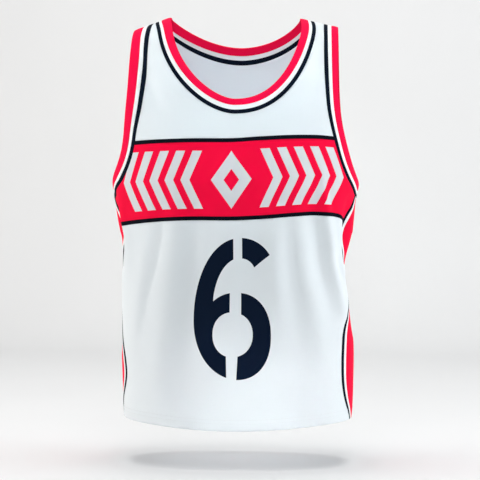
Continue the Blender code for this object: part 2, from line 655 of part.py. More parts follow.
def front_pieces(collection):
    right = side_edge(1.0, 1.0, SEAM_HALF)
    left = side_edge(-1.0, 1.0, SEAM_HALF) * np.array([-1.0, 1.0])
    lines = (BAND_TOP_Z, BAND_TOP_Z - TAPE_W, BAND_BOTTOM_Z + TAPE_W, BAND_BOTTOM_Z)

    def above(z):
        return lambda p: level_t(p[:, 0], z) - SEAM_HALF - p[:, 1]

    def below(z):
        return lambda p: p[:, 1] - level_t(p[:, 0], z) - SEAM_HALF

    # yoke: neckline, left shoulder, left edge down, level seam, right edge up
    neck = neck_line(1.0, "navy", SEAM_HALF)
    neck[0, 1] = neck[-1, 1] = SEAM_HALF
    lt, rt = cut(left, above(lines[0])), cut(right, above(lines[0]))
    lt[0, 1] = rt[0, 1] = SEAM_HALF
    seam_l = [(shoulder_points(-1.0)[1], SEAM_HALF)]
    seam_r = [(shoulder_points(1.0)[1], SEAM_HALF)]
    level = level_line(lt[-1, 0], rt[-1, 0], lines[0], -SEAM_HALF)
    panel("front_yoke", "white", 1.0,
          np.vstack([neck, seam_l, lt, level, rt[::-1], seam_r]), collection)

    # tape, band, tape: each between two level seams
    for name, colour, upper, lower in (
            ("tape_top", "navy", lines[0], lines[1]),
            ("front_band", "red", lines[1], lines[2]),
            ("tape_bottom", "navy", lines[2], lines[3])):
        lt = cut(cut(left, below(upper)), above(lower))
        rt = cut(cut(right, below(upper)), above(lower))
        top = level_line(lt[0, 0], rt[0, 0], upper, SEAM_HALF)
        low = level_line(lt[-1, 0], rt[-1, 0], lower, -SEAM_HALF)
        border = BORDER if name == "front_band" else 0.0
        panel(name, colour, 1.0, np.vstack([lt, low, rt[::-1], top[::-1]]), collection, border=border)

    # lower front, down to the hem
    lt, rt = cut(left, below(lines[3])), cut(right, below(lines[3]))
    top = level_line(lt[0, 0], rt[0, 0], lines[3], SEAM_HALF)
    s = np.linspace(lt[-1, 0], rt[-1, 0], 19)[1:-1]
    hem = np.stack([s, hem_t(1.0, s)], axis=1)
    panel("front_lower", "white", 1.0, np.vstack([lt, hem, rt[::-1], top[::-1]]), collection)


def back_pieces(collection):
    right = side_edge(1.0, -1.0, SEAM_HALF)
    left = side_edge(-1.0, -1.0, SEAM_HALF) * np.array([-1.0, 1.0])
    neck = neck_line(-1.0, "navy", SEAM_HALF)
    neck[0, 1] = neck[-1, 1] = SEAM_HALF
    left[0, 1] = right[0, 1] = SEAM_HALF
    seam_l = [(shoulder_points(-1.0)[1], SEAM_HALF)]
    seam_r = [(shoulder_points(1.0)[1], SEAM_HALF)]
    s = np.linspace(left[-1, 0], right[-1, 0], 19)[1:-1]
    hem = np.stack([s, hem_t(-1.0, s)], axis=1)
    panel("back_panel", "white", -1.0,
          np.vstack([neck, seam_l, left, hem, right[::-1], seam_r]), collection, step=0.036)


def rings(collection):
    g = SEAM_HALF
    before = "none"
    for piece, colour, thick in (("rib", "red", RIB_T), ("white", "white", STRIPE_T), ("navy", "navy", STRIPE_T)):
        name = "neck_rib" if piece == "rib" else "neck_stripe_" + piece
        inner = neck_loop(before, 0.0 if piece == "rib" else g)
        ring(name, colour, [inner, neck_loop(piece, -g)], thick, collection)
        before = piece
    for side, tag in ((-1.0, "_l"), (1.0, "_r")):
        before = "edge"
        for piece, colour, thick in (("rib", "red", RIB_T), ("white", "white", STRIPE_T), ("navy", "navy", STRIPE_T)):
            name = ("armhole_rib" if piece == "rib" else "armhole_stripe_" + piece) + tag
            inner = arm_loop(side, before, 0.0 if piece == "rib" else g)
            ring(name, colour, [inner, arm_loop(side, piece, -g)], thick, collection)
            before = piece


def side_pieces(collection):
    """The inserts and their piping, in the side chart."""
    g = SEAM_HALF
    bounds = (0.0, SIDE_NAVY_W, SIDE_NAVY_W + SIDE_WHITE_W)
    for side, tag in ((-1.0, "_l"), (1.0, "_r")):
        front = arm_line(side, 1.0, "navy", g)
        back = arm_line(side, -1.0, "navy", g)[::-1]
        back = np.stack([2 * QUARTER - back[:, 0], back[:, 1]], axis=1)
        arm = np.vstack([front, back[1:]])

        def chart_line(sheet, inward, gap):
            """One long edge in the side chart, from above the armhole to the hem."""
            away = insert_line(side, sheet, inward, SIDE_T) + gap
            S = QUARTER - away if sheet > 0 else QUARTER + away
            return np.stack([S, SIDE_T], axis=1)

        def edge(sheet, inward, gap):
            """The same edge between the armhole seam and the hem, and where it starts."""
            sign = 1.0 if sheet > 0 else -1.0
            value = lambda p: sign * (p[:, 0] - QUARTER) + insert_line(side, sheet, inward, p[:, 1]) + gap
            near = arm[np.abs(arm[:, 0] - QUARTER) < 0.05]
            v = value(near)
            i = int(np.nonzero((v[1:] > 0) != (v[:-1] > 0))[0][0])
            u = v[i] / (v[i] - v[i + 1])
            start = near[i] + u * (near[i + 1] - near[i])
            line = chart_line(sheet, inward, gap)[rows_below(side, sheet, inward)]
            end_t = float(hem_t(sheet, QUARTER))
            line = line[line[:, 1] < end_t - 0.006]
            away = float(insert_line(side, sheet, inward, np.array([end_t]))[0]) + gap
            end = [QUARTER - away if sheet > 0 else QUARTER + away, end_t]
            return np.vstack([start, line, end])

        def between(first, last):
            """Armhole seam points that lie between two starts."""
            pick = (arm[:, 0] > first[0] + 0.0006) & (arm[:, 0] < last[0] - 0.0006)
            return arm[pick]

        def strip(name, colour, one, two, thick, border=0.0):
            side_piece(name, colour, side,
                       np.vstack([one, two[::-1], between(one[0], two[0])[::-1]]),
                       collection, thick, border)

        strip("side_navy_front" + tag, "navy", edge(1.0, bounds[0], -g), edge(1.0, bounds[1], g), STRIPE_T)
        strip("side_white_front" + tag, "white", edge(1.0, bounds[1], -g), edge(1.0, bounds[2], g), STRIPE_T)
        strip("side_panel" + tag, "red", edge(1.0, bounds[2], -g), edge(-1.0, bounds[2], -g), CLOTH_T, BORDER)
        strip("side_white_back" + tag, "white", edge(-1.0, bounds[2], g), edge(-1.0, bounds[1], -g), STRIPE_T)
        strip("side_navy_back" + tag, "navy", edge(-1.0, bounds[1], g), edge(-1.0, bounds[0], -g), STRIPE_T)


def build():
    for obj in list(bpy.context.scene.objects):
        bpy.data.objects.remove(obj, do_unlink=True)
    collection = bpy.data.collections.new("lacrosse_jersey")
    bpy.context.scene.collection.children.link(collection)
    front_pieces(collection)
    back_pieces(collection)
    rings(collection)
    side_pieces(collection)


build()
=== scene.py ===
"""The looks of a sleeveless reversible lacrosse jersey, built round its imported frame.

Frame: metres, +Z up, +X to the viewer's right, the front faces -Y, origin
midway between the shoulder straps.

The cloth is described as a sheet with two coordinates:
  s  the distance round the body, 0 at the middle of the front or back sheet,
     +-QUARTER at the side lines,
  t  the distance down the cloth from the shoulder seam.
drape() says where a point of that sheet lies, with its folds and creases.
Each panel is an outline in (s, t) filled with fine triangles; each rib, stripe
and tape is a rounded strip that follows a seam line.
"""
import math

import bpy
import numpy as np
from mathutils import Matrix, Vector, kdtree
from mathutils.geometry import delaunay_2d_cdt


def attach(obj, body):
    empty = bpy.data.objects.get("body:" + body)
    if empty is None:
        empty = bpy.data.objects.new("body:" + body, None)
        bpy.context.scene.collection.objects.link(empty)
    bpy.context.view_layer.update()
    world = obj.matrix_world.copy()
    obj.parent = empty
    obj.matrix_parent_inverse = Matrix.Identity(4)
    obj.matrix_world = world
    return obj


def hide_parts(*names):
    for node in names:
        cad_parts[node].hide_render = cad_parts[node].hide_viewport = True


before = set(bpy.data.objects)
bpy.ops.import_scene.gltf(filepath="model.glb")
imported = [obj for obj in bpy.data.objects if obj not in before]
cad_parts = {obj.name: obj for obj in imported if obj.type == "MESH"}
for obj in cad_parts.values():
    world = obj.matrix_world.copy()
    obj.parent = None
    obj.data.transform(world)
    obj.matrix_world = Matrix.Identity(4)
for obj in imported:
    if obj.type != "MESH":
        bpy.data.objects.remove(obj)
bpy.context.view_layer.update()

# fineness of the visible meshes
NECK_FRONT_STEPS = 230
NECK_BACK_STEPS = 150
ARM_STEPS = 190
SIDE_STEP = 0.0025
PANEL_STEP = 0.0030

# ------------------------------------------------ driving sizes, as the frame
CLOTH_T = 0.0012          # wall of the body cloth
RIB_T = 0.0020            # wall of the bound ribs
STRIPE_T = 0.0014         # wall of the sewn stripes
SEAM_HALF = 0.00015       # each piece stops this far short of its seam line

NECK_POINT_X = 0.1165     # half of the neck opening at the shoulder
NECK_POINT_Z = 0.012      # height of the neck point above the origin
STRAP_END_X = 0.1820      # outer end of the strap
FRONT_NECK_DROP = 0.1545  # neck point down to the front neckline's edge
BACK_NECK_DROP = 0.0396   # neck point down to the back neckline's edge
NECK_SHIFT_FRONT = 0.0080  # the worn neckline sits a little off centre
NECK_SHIFT_BACK = 0.0040
NECK_IN_RIGHT = 0.0024    # the right neck point sits this much nearer the middle
NECK_FULL_LEFT = 1.23     # fullness of each half of the front neckline
NECK_FULL_RIGHT = 0.88

CHEST_Z = -0.240          # from here down the cloth hangs upright
CREST_CLOTH = 0.300       # cloth from the shoulder seam down to CHEST_Z
CREST_POWER = 2.5         # how soon the cloth turns down over the shoulder
CREST_SLOPE = 0.3185      # shoulder slope, and its difference between sides
CREST_SLOPE_DIFF = 0.0685
CREST_TILT = 0.0019       # the right shoulder sits this much lower than the middle
CREST_ROUND = 0.050

ARMHOLE_BOTTOM_Z = -0.2830

BAND_TOP_Z = -0.2110      # upper edge of the upper tape
BAND_BOTTOM_Z = -0.3510   # lower edge of the lower tape
TAPE_W = 0.0068

HEM_SIDE_Z = -0.6990
HEM_FRONT_SAG = 0.0120
HEM_BACK_SAG = 0.0060

# Trim widths round each armhole, by the height of the armhole's edge.
ARM_TRIM = (
    # z,     rib L,  white L, navy L, rib R,  white R, navy R
    (0.000, 0.0182, 0.0086, 0.0094, 0.0122, 0.0068, 0.0066),
    (-0.110, 0.0196, 0.0080, 0.0088, 0.0114, 0.0068, 0.0074),
    (-0.150, 0.0184, 0.0080, 0.0086, 0.0112, 0.0066, 0.0072),
    (-0.200, 0.0158, 0.0064, 0.0072, 0.0118, 0.0058, 0.0062),
    (-0.235, 0.0158, 0.0064, 0.0078, 0.0132, 0.0060, 0.0056),
    (-0.268, 0.0150, 0.0072, 0.0092, 0.0144, 0.0066, 0.0066),
    (-0.283, 0.0148, 0.0074, 0.0090, 0.0146, 0.0068, 0.0068),
)
ARM_BOW_LEFT = (0.0046, -0.195, 0.075)   # how far the edge stands out, at which height, over how much
ARM_BOW_RIGHT = (0.0040, -0.222, 0.055)
SIDE_NAVY_W = 0.0065
SIDE_WHITE_W = 0.0060

SECTION_POWER = 2.30      # roundness of the body's level sections

# One row for each level section: half-widths on the viewer's left and right,
# and how far the front and the back stand off the side line.
SECTION = (
    # z,      left,   right,  front,  back
    (0.040, 0.2310, 0.2140, 0.1140, 0.1080),
    (-0.150, 0.2300, 0.2145, 0.1145, 0.1090),
    (-0.240, 0.2230, 0.2170, 0.1150, 0.1100),
    (-0.283, 0.2210, 0.2170, 0.1150, 0.1090),
    (-0.313, 0.2185, 0.2125, 0.1145, 0.1080),
    (-0.349, 0.2130, 0.2092, 0.1122, 0.1060),
    (-0.385, 0.2070, 0.2050, 0.1092, 0.1045),
    (-0.430, 0.2070, 0.1985, 0.1068, 0.1040),
    (-0.457, 0.2080, 0.1995, 0.1064, 0.1045),
    (-0.492, 0.2080, 0.2045, 0.1072, 0.1060),
    (-0.540, 0.2060, 0.2070, 0.1088, 0.1080),
    (-0.582, 0.2050, 0.2090, 0.1105, 0.1090),
    (-0.636, 0.2030, 0.2080, 0.1124, 0.1095),
    (-0.671, 0.2020, 0.2070, 0.1137, 0.1095),
    (-0.699, 0.2000, 0.2045, 0.1146, 0.1090),
    (-0.730, 0.1990, 0.2035, 0.1152, 0.1085),
)

# Side insert: distance round the body from the side line to the insert's
# outer edge, piping included.
SIDE_INSERT = (
    # z,     front L, front R, back
    (-0.290, 0.0160, 0.0150, 0.0155),
    (-0.312, 0.0205, 0.0220, 0.0200),
    (-0.331, 0.0315, 0.0340, 0.0310),
    (-0.350, 0.0415, 0.0430, 0.0410),
    (-0.372, 0.0430, 0.0510, 0.0480),
    (-0.389, 0.0335, 0.0490, 0.0455),
    (-0.408, 0.0250, 0.0360, 0.0345),
    (-0.425, 0.0220, 0.0270, 0.0270),
    (-0.457, 0.0220, 0.0240, 0.0240),
    (-0.492, 0.0250, 0.0270, 0.0250),
    (-0.528, 0.0290, 0.0480, 0.0370),
    (-0.558, 0.0390, 0.0590, 0.0500),
    (-0.590, 0.0520, 0.0620, 0.0580),
    (-0.620, 0.0565, 0.0610, 0.0590),
    (-0.645, 0.0470, 0.0570, 0.0500),
    (-0.671, 0.0290, 0.0470, 0.0370),
    (-0.699, 0.0200, 0.0260, 0.0220),
    (-0.730, 0.0180, 0.0190, 0.0180),
)

# The largest folds: ridges (height above 0) and troughs (below 0), each a
# line down the cloth with its place at the top, middle and bottom.
FOLDS = (
    # sheet, s top,  s mid,   s bottom, z top,  z bottom, height, half-width
    # side folds below the armholes: a rolled ridge with a groove behind it
    ("front", 0.1480, 0.1840, 0.2160, -0.285, -0.530, 0.0092, 0.0145),
    ("front", 0.2200, 0.2160, 0.2190, -0.300, -0.455, -0.0098, 0.0160),
    ("front", -0.2040, -0.2030, -0.2060, -0.280, -0.450, 0.0070, 0.0140),
    ("front", -0.2260, -0.2240, -0.2270, -0.295, -0.440, -0.0088, 0.0165),
    # the side seams draw in at the waist
    ("front", 0.2620, 0.2620, 0.2620, -0.370, -0.560, -0.0080, 0.0300),
    ("front", -0.2620, -0.2620, -0.2620, -0.370, -0.590, -0.0080, 0.0300),
    ("back", 0.1900, 0.1860, 0.1830, -0.290, -0.480, 0.0070, 0.0160),
    ("back", 0.2220, 0.2180, 0.2160, -0.300, -0.465, -0.0080, 0.0160),
    ("back", -0.1930, -0.1880, -0.1860, -0.285, -0.470, 0.0065, 0.0160),
    ("back", -0.2230, -0.2190, -0.2180, -0.300, -0.450, -0.0075, 0.0160),
    # long soft folds of the lower front
    ("front", -0.1250, -0.1650, -0.1850, -0.300, -0.600, 0.0024, 0.0150),
    ("front", -0.1030, -0.1390, -0.1810, -0.300, -0.600, -0.0017, 0.0092),
    ("front", -0.0840, -0.1125, -0.1430, -0.300, -0.680, 0.0052, 0.0240),
    ("front", -0.0570, -0.0660, -0.0780, -0.300, -0.680, -0.0058, 0.0240),
    ("front", -0.0028, -0.0060, -0.0100, -0.320, -0.640, 0.0028, 0.0220),
    ("front", 0.0400, 0.0400, 0.0400, -0.320, -0.600, -0.0018, 0.0180),
    ("front", 0.0710, 0.0820, 0.0870, -0.300, -0.620, 0.0048, 0.0170),
    ("front", 0.0900, 0.1115, 0.1270, -0.300, -0.640, -0.0014, 0.0130),
    ("front", 0.1090, 0.1410, 0.1750, -0.300, -0.660, 0.0036, 0.0190),
    ("front", 0.1270, 0.1640, 0.1890, -0.300, -0.560, -0.0056, 0.0190),
    ("front", 0.1980, 0.2080, 0.2110, -0.420, -0.540, 0.0016, 0.0110),
    # the same kind of folds on the back
    ("back", -0.0950, -0.0800, -0.0880, -0.300, -0.690, 0.0055, 0.0220),
    ("back", -0.0420, -0.0380, -0.0500, -0.340, -0.660, -0.0050, 0.0240),
    ("back", 0.0550, 0.0680, 0.0600, -0.310, -0.690, 0.0050, 0.0230),
    ("back", 0.1050, 0.1200, 0.1120, -0.340, -0.640, -0.0045, 0.0200),
    ("back", -0.1380, -0.1350, -0.1450, -0.350, -0.650, -0.0045, 0.0180),
    # soft drag lines from the straps
    ("front", -0.1500, -0.1350, -0.1150, -0.030, -0.170, -0.0025, 0.0140),
    ("front", 0.1560, 0.1450, 0.1300, -0.030, -0.160, -0.0020, 0.0130),
    ("back", -0.1400, -0.1200, -0.0950, -0.050, -0.210, -0.0030, 0.0160),
    ("back", 0.1400, 0.1200, 0.0950, -0.050, -0.210, -0.0030, 0.0160),
)

# Trim widths round the neck, from the shoulder to the middle.
NECK_TRIM = (
    # piece,  left shoulder, right shoulder, front middle, back middle
    ("rib", 0.0176, 0.0144, 0.0107, 0.0152),
    ("white", 0.0044, 0.0048, 0.0080, 0.0086),
    ("navy", 0.0064, 0.0066, 0.0068, 0.0098),
)

# How far the band's seams wander up or down, by the distance round the body.
BAND_WAVE = (
    # s,     upper,   lower
    (0.240, 0.0000, -0.0070),
    (0.215, 0.0000, -0.0060),
    (0.190, 0.0005, 0.0020),
    (0.170, 0.0020, 0.0048),
    (0.140, 0.0040, 0.0062),
    (0.100, 0.0045, 0.0050),
    (0.050, 0.0030, 0.0020),
    (0.000, 0.0000, 0.0000),
    (-0.080, -0.0005, -0.0010),
    (-0.170, -0.0010, -0.0045),
    (-0.200, -0.0010, -0.0058),
    (-0.240, -0.0010, -0.0065),
)


# The insert's edge is a running mean over these heights: (above, share).
ROUNDED = ((-0.014, 0.12), (-0.007, 0.22), (0.0, 0.32), (0.007, 0.22), (0.014, 0.12))


# ------------------------------------------------------------- small tools
def smooth_table(rows, column, z):
    """Smooth curve through one column of a table whose first column falls."""
    zs = np.array([-row[0] for row in rows])
    vs = np.array([row[column] for row in rows])
    x = np.clip(-np.asarray(z, float), zs[0], zs[-1])
    step = np.diff(zs)
    rise = np.diff(vs) / step
    slope = np.zeros(len(zs))
    both = rise[:-1] * rise[1:]
    mean = np.where(both > 0, 2 * both / np.where(both > 0, rise[:-1] + rise[1:], 1), 0)
    slope[1:-1] = mean
    slope[0], slope[-1] = rise[0], rise[-1]
    i = np.clip(np.searchsorted(zs, x) - 1, 0, len(zs) - 2)
    u = (x - zs[i]) / step[i]
    return (vs[i] * (1 + 2 * u) * (1 - u) ** 2 + slope[i] * step[i] * u * (1 - u) ** 2
            + vs[i + 1] * u * u * (3 - 2 * u) + slope[i + 1] * step[i] * u * u * (u - 1))


def running_length(points):
    seg = np.linalg.norm(np.diff(points, axis=0), axis=1)
    return np.concatenate([[0.0], np.cumsum(seg)])


def resample(points, steps):
    """The same polyline with equal steps."""
    length = running_length(points)
    at = np.linspace(0.0, length[-1], steps + 1)
    return np.stack([np.interp(at, length, points[:, k]) for k in range(points.shape[1])], axis=1)


# level section: a superellipse, read by distance round it
_ang = np.linspace(0.0, math.pi / 2, 6001)
_sec = np.stack([np.sin(_ang) ** (2 / SECTION_POWER), np.cos(_ang) ** (2 / SECTION_POWER)], axis=1)
_arc = running_length(_sec * np.array([0.207, 0.112]))
QUARTER = float(_arc[-1])          # cloth from the middle of the front to the side line

# cloth over the shoulder: level at the seam, upright at CREST_CLOTH
_t = np.linspace(0.0, CREST_CLOTH, 3001)
_phi = 0.5 * math.pi * (1 - (1 - _t / CREST_CLOTH) ** CREST_POWER)
_fwd = np.concatenate([[0.0], np.cumsum(0.5 * (np.cos(_phi[1:]) + np.cos(_phi[:-1])))])
_fall = np.concatenate([[0.0], np.cumsum(0.5 * (np.sin(_phi[1:]) + np.sin(_phi[:-1])))])
_fwd /= _fwd[-1]
_fall /= _fall[-1]


def crest_z(s):
    """Height of the shoulder seam line over the point s."""
    x = 0.2205 * np.interp(np.abs(s), _arc, _sec[:, 0])
    slope = CREST_SLOPE - CREST_SLOPE_DIFF * np.tanh(np.asarray(s) / 0.04)
    low = CREST_TILT * (1.0 + np.tanh(np.asarray(s) / 0.04))
    return NECK_POINT_Z - low - slope * (np.hypot(x, CREST_ROUND) - math.hypot(NECK_POINT_X, CREST_ROUND))


def z_of(s, t):
    t = np.abs(t)
    top = crest_z(s)
    return top - (top - CHEST_Z) * np.interp(t, _t, _fall) - np.maximum(t - CREST_CLOTH, 0.0)


def t_of(s, z):
    """Distance down the cloth at which it passes the height z."""
    top = crest_z(s)
    part = np.clip((top - z) / (top - CHEST_Z), 0.0, 1.0)
    return np.interp(part, _fall, _t) + np.maximum(CHEST_Z - z, 0.0)


def s_of(x, z):
    """Distance round the body of the front-view point (x, z), above the side line."""
    half = np.where(np.asarray(x) > 0, smooth_table(SECTION, 2, z), smooth_table(SECTION, 1, z))
    g = np.clip(np.abs(x) / half, 0.0, 1.0)
    return np.sign(x) * np.interp(g, _sec[:, 0], _arc)


def body(sheet, s, t):
    """The smooth body form. sheet is +1 on the front and -1 on the back."""
    sheet = np.asarray(sheet, float) * np.where(t < 0, -1.0, 1.0)
    t = np.abs(t)
    over = np.abs(s) > QUARTER
    sheet = np.where(over, -sheet, sheet)
    q = np.where(over, 2 * QUARTER - np.abs(s), np.abs(s))
    side = np.where(s < 0, -1.0, 1.0)
    g = np.interp(q, _arc, _sec[:, 0])
    h = np.interp(q, _arc, _sec[:, 1])
    z = z_of(side * q, t)
    half = np.where(side > 0, smooth_table(SECTION, 2, z), smooth_table(SECTION, 1, z))
    deep = np.where(sheet > 0, smooth_table(SECTION, 3, z), smooth_table(SECTION, 4, z))
    y = -sheet * deep * h * np.interp(t, _t, _fwd)
    return np.stack([side * half * g, y, z], axis=-1)


def fold_height(sheet, s, t):
    over = np.abs(s) > QUARTER
    here = np.where(over, -np.asarray(sheet, float), np.asarray(sheet, float))
    here = here * np.where(t < 0, -1.0, 1.0)
    side = np.where(s < 0, -1.0, 1.0)
    q = side * np.where(over, 2 * QUARTER - np.abs(s), np.abs(s))
    z = z_of(q, t)
    total = np.zeros(np.shape(z))
    for where, s_top, s_mid, s_low, z_top, z_low, height, width in FOLDS:
        down = np.clip((z_top - z) / (z_top - z_low), 0.0, 1.0)
        line = (s_top * (1 - down) * (1 - 2 * down) + 4 * s_mid * down * (1 - down)
                + s_low * down * (2 * down - 1))
        swell = np.sin(math.pi * down) ** 0.8 * (1 - 0.25 * down)
        # measured round the side line as well, so a fold near it stays whole
        on_sheet = 1.0 if where == "front" else -1.0
        away = np.where(here == on_sheet, q - line,
                        np.where(line > 0, 2 * QUARTER - q - line, -2 * QUARTER - q - line))
        total = total + height * swell * np.exp(-(away / width) ** 2)
    return total


def drape(sheet, s, t):
    """Where a point of the cloth lies, and its outward direction."""
    sheet, s, t = np.broadcast_arrays(np.asarray(sheet, float), np.asarray(s, float), np.asarray(t, float))
    d = 0.0008
    ds = body(sheet, s + d, t) - body(sheet, s - d, t)
    dt = body(sheet, s, t + d) - body(sheet, s, t - d)
    out = -sheet[..., None] * np.cross(ds, dt)
    out /= np.linalg.norm(out, axis=-1, keepdims=True)
    return body(sheet, s, t) + out * fold_height(sheet, s, t)[..., None], out


# ---------------------------------------------------------- the seam lines
def march(sheet, s, t, step_s, step_t, distance):
    """Move over the cloth in the given direction by a real distance."""
    s, t = np.array(s, float), np.array(t, float)
    norm = np.hypot(step_s, step_t)
    step_s, step_t = step_s / norm, step_t / norm
    parts = 6
    for _ in range(parts):
        ahead = body(sheet, s + step_s * 0.001, t + step_t * 0.001)
        stretch = np.linalg.norm(ahead - body(sheet, s, t), axis=-1) / 0.001
        s = s + step_s * distance / parts / stretch
        t = t + step_t * distance / parts / stretch
    return s, t


def edge_normals(points, hole):
    """Directions in the cloth square to an edge line, away from the hole."""
    tangent = np.gradient(points, axis=0)
    normal = np.stack([tangent[:, 1], -tangent[:, 0]], axis=1)
    away = points - np.array(hole)
    flip = np.sign(np.sum(normal * away, axis=1))
    normal *= np.where(flip == 0, 1, flip)[:, None]
    return normal / np.linalg.norm(normal, axis=1, keepdims=True)


def neck_branch(sheet, steps):
    """Half of the neckline, from the right neck point to the left one."""
    th = np.linspace(0.0, math.pi, 1601)
    c, sn = np.cos(th), np.sin(th)
    if sheet > 0:
        full = np.where(c > 0, NECK_FULL_RIGHT, NECK_FULL_LEFT)
        wide, down = np.sign(c) * np.abs(c) ** full, np.abs(sn) ** 1.08
        drop, shift = FRONT_NECK_DROP, NECK_SHIFT_FRONT * np.tanh(down / 0.12)
    else:
        wide, down = np.sign(c) * np.abs(c) ** 1.06, np.abs(sn) ** 1.82
        drop, shift = BACK_NECK_DROP, NECK_SHIFT_BACK * down
    x = (NECK_POINT_X - NECK_IN_RIGHT * (c > 0)) * wide + shift
    z = NECK_POINT_Z - CREST_TILT * (1.0 + wide) - drop * down
    s = s_of(x, z)
    t = t_of(s, z)
    t[0] = t[-1] = 0.0
    line = resample(np.stack([s, t], axis=1), steps)
    normal = edge_normals(line, (0.0, 0.0))
    normal[0], normal[-1] = (1.0, 0.0), (-1.0, 0.0)
    return line, normal


def arm_branch(side, sheet, steps):
    """Half of an armhole's edge, from the shoulder to the side line (s > 0)."""
    th = np.linspace(0.0, math.pi / 2, 1601)
    end_s = float(s_of(side * STRAP_END_X, 0.0)) * side
    reach = QUARTER - end_s
    if sheet < 0:
        reach_mid = 0.93
    else:
        reach_mid = 1.0
    z_top = float(crest_z(side * end_s))
    down = np.sin(th) ** 0.40
    s = QUARTER - reach * np.cos(th) ** 1.25 * (1 - (1 - reach_mid) * down ** 2)
    z = z_top - (z_top - ARMHOLE_BOTTOM_Z) * down
    far, at, over = ARM_BOW_LEFT if side < 0 else ARM_BOW_RIGHT
    s = s + far * np.exp(-((z - at) / over) ** 2) * (1 - np.sin(th) ** 8)
    t = t_of(side * s, z)
    t[0] = 0.0
    line = resample(np.stack([s, t], axis=1), steps)
    normal = edge_normals(line, (QUARTER + 0.02, 0.12))
    normal[0], normal[-1] = (-1.0, 0.0), (0.0, 1.0)
    return line, normal


def neck_width(piece, steps, sheet):
    """Summed trim width from the neck edge, at each step of a branch."""
    u = np.linspace(-1.0, 1.0, steps + 1)
    total = np.zeros(steps + 1)
    for name, left, right, front, back in NECK_TRIM:
        middle = front if sheet > 0 else back
        shoulder = np.where(u < 0, right, left)
        total = total + middle + (shoulder - middle) * np.abs(u) ** 1.3
        if name == piece:
            return total
    return total * 0.0


def neck_line(sheet, piece, gap):
    """Seam line on the outer side of a neck trim, moved outward by gap."""
    steps = NECK_FRONT_STEPS if sheet > 0 else NECK_BACK_STEPS
    line, normal = neck_branch(sheet, steps)
    width = neck_width(piece, steps, sheet) + gap
    s, t = march(sheet, line[:, 0], line[:, 1], normal[:, 0], normal[:, 1], width)
    return np.stack([s, t], axis=1)


def arm_width(side, line, piece):
    """Summed trim width from the armhole's edge, at each point of a branch."""
    z = z_of(side * line[:, 0], line[:, 1])
    total = np.zeros(len(line))
    for column, name in enumerate(("rib", "white", "navy")):
        total = total + smooth_table(ARM_TRIM, column + (1 if side < 0 else 4), z)
        if name == piece:
            return total
    return total * 0.0


def arm_line(side, sheet, piece, gap):
    line, normal = arm_branch(side, sheet, ARM_STEPS)
    s, t = march(sheet, side * line[:, 0], line[:, 1], side * normal[:, 0], normal[:, 1],
                 arm_width(side, line, piece) + gap)
    return np.stack([side * s, t], axis=1)


def insert_line(side, sheet, inward, t):
    """Distance from the side line to a line of the side insert, for each t."""
    z = CHEST_Z - (np.asarray(t) - CREST_CLOTH)
    column = 3 if sheet < 0 else (1 if side < 0 else 2)
    wide = sum(part * smooth_table(SIDE_INSERT, column, z + dz) for dz, part in ROUNDED)
    return wide - inward


def hem_t(sheet, s):
    sag = HEM_FRONT_SAG if sheet > 0 else HEM_BACK_SAG
    lift = 0.5 + 0.5 * np.cos(math.pi * np.clip(np.abs(s) / QUARTER, 0, 1))
    return CREST_CLOTH + CHEST_Z - HEM_SIDE_Z + sag * lift


def level_t(s, z):
    """t of one of the band's seams, which wave gently."""
    low = (BAND_TOP_Z - z) / (BAND_TOP_Z - BAND_BOTTOM_Z)
    wave = 0.0012 * np.sin(s * 21.0 + 0.6) - 0.0022 * s / QUARTER
    move = (1 - low) * smooth_table(BAND_WAVE, 1, s) + low * smooth_table(BAND_WAVE, 2, s)
    return t_of(s, z - wave + move)


def cut(points, value):
    """The part of a polyline where value() is above 0, cut where it changes."""
    v = value(points)
    keep = []
    for i in range(len(points)):
        if i and (v[i] > 0) != (v[i - 1] > 0):
            u = v[i - 1] / (v[i - 1] - v[i])
            keep.append(points[i - 1] + u * (points[i] - points[i - 1]))
        if v[i] > 0:
            keep.append(points[i])
    return np.array(keep)


SIDE_T = np.arange(CREST_CLOTH + 0.052, CREST_CLOTH + 0.47, SIDE_STEP)


def rows_below(side, sheet, inward):
    """The SIDE_T rows that an insert line has below the armhole's seam line."""
    arm = arm_line(side, sheet, "navy", 0.0)
    arm = cut(arm, lambda p: (QUARTER - p[:, 0]) - insert_line(side, sheet, inward, p[:, 1]))
    return SIDE_T > arm[-1, 1] + 0.005


def side_edge(side, sheet, gap):
    """A panel's side edge, shoulder to hem, s > 0: the armhole seam, then the insert's."""
    arm = arm_line(side, sheet, "navy", gap)
    away = lambda p: (QUARTER - p[:, 0]) - insert_line(side, sheet, 0.0, p[:, 1]) - gap
    arm = cut(arm, away)
    below = np.stack([QUARTER - insert_line(side, sheet, 0.0, SIDE_T) - gap, SIDE_T], axis=1)
    below = below[rows_below(side, sheet, 0.0)]
    below = cut(below, lambda p: hem_t(sheet, p[:, 0]) - p[:, 1])
    end_t = float(hem_t(sheet, below[-1, 0]))
    if below[-1, 1] < end_t - 0.0005:
        end_s = QUARTER - float(insert_line(side, sheet, 0.0, np.array([end_t]))[0]) - gap
        if below[-1, 1] > end_t - 0.006:
            below = below[:-1]
        below = np.vstack([below, [end_s, end_t]])
    else:
        below[-1, 1] = end_t
    return np.vstack([arm, below])


def level_line(s_from, s_to, z, gap):
    """Points along a level seam between two s values, ends left out."""
    step = PANEL_STEP * 0.8
    k = np.arange(math.ceil((s_from + 0.45 * step) / step), math.floor((s_to - 0.45 * step) / step) + 1)
    s = np.concatenate([[s_from + 0.005], k * step, [s_to - 0.005]])
    return np.stack([s, level_t(s, z) + gap], axis=1)


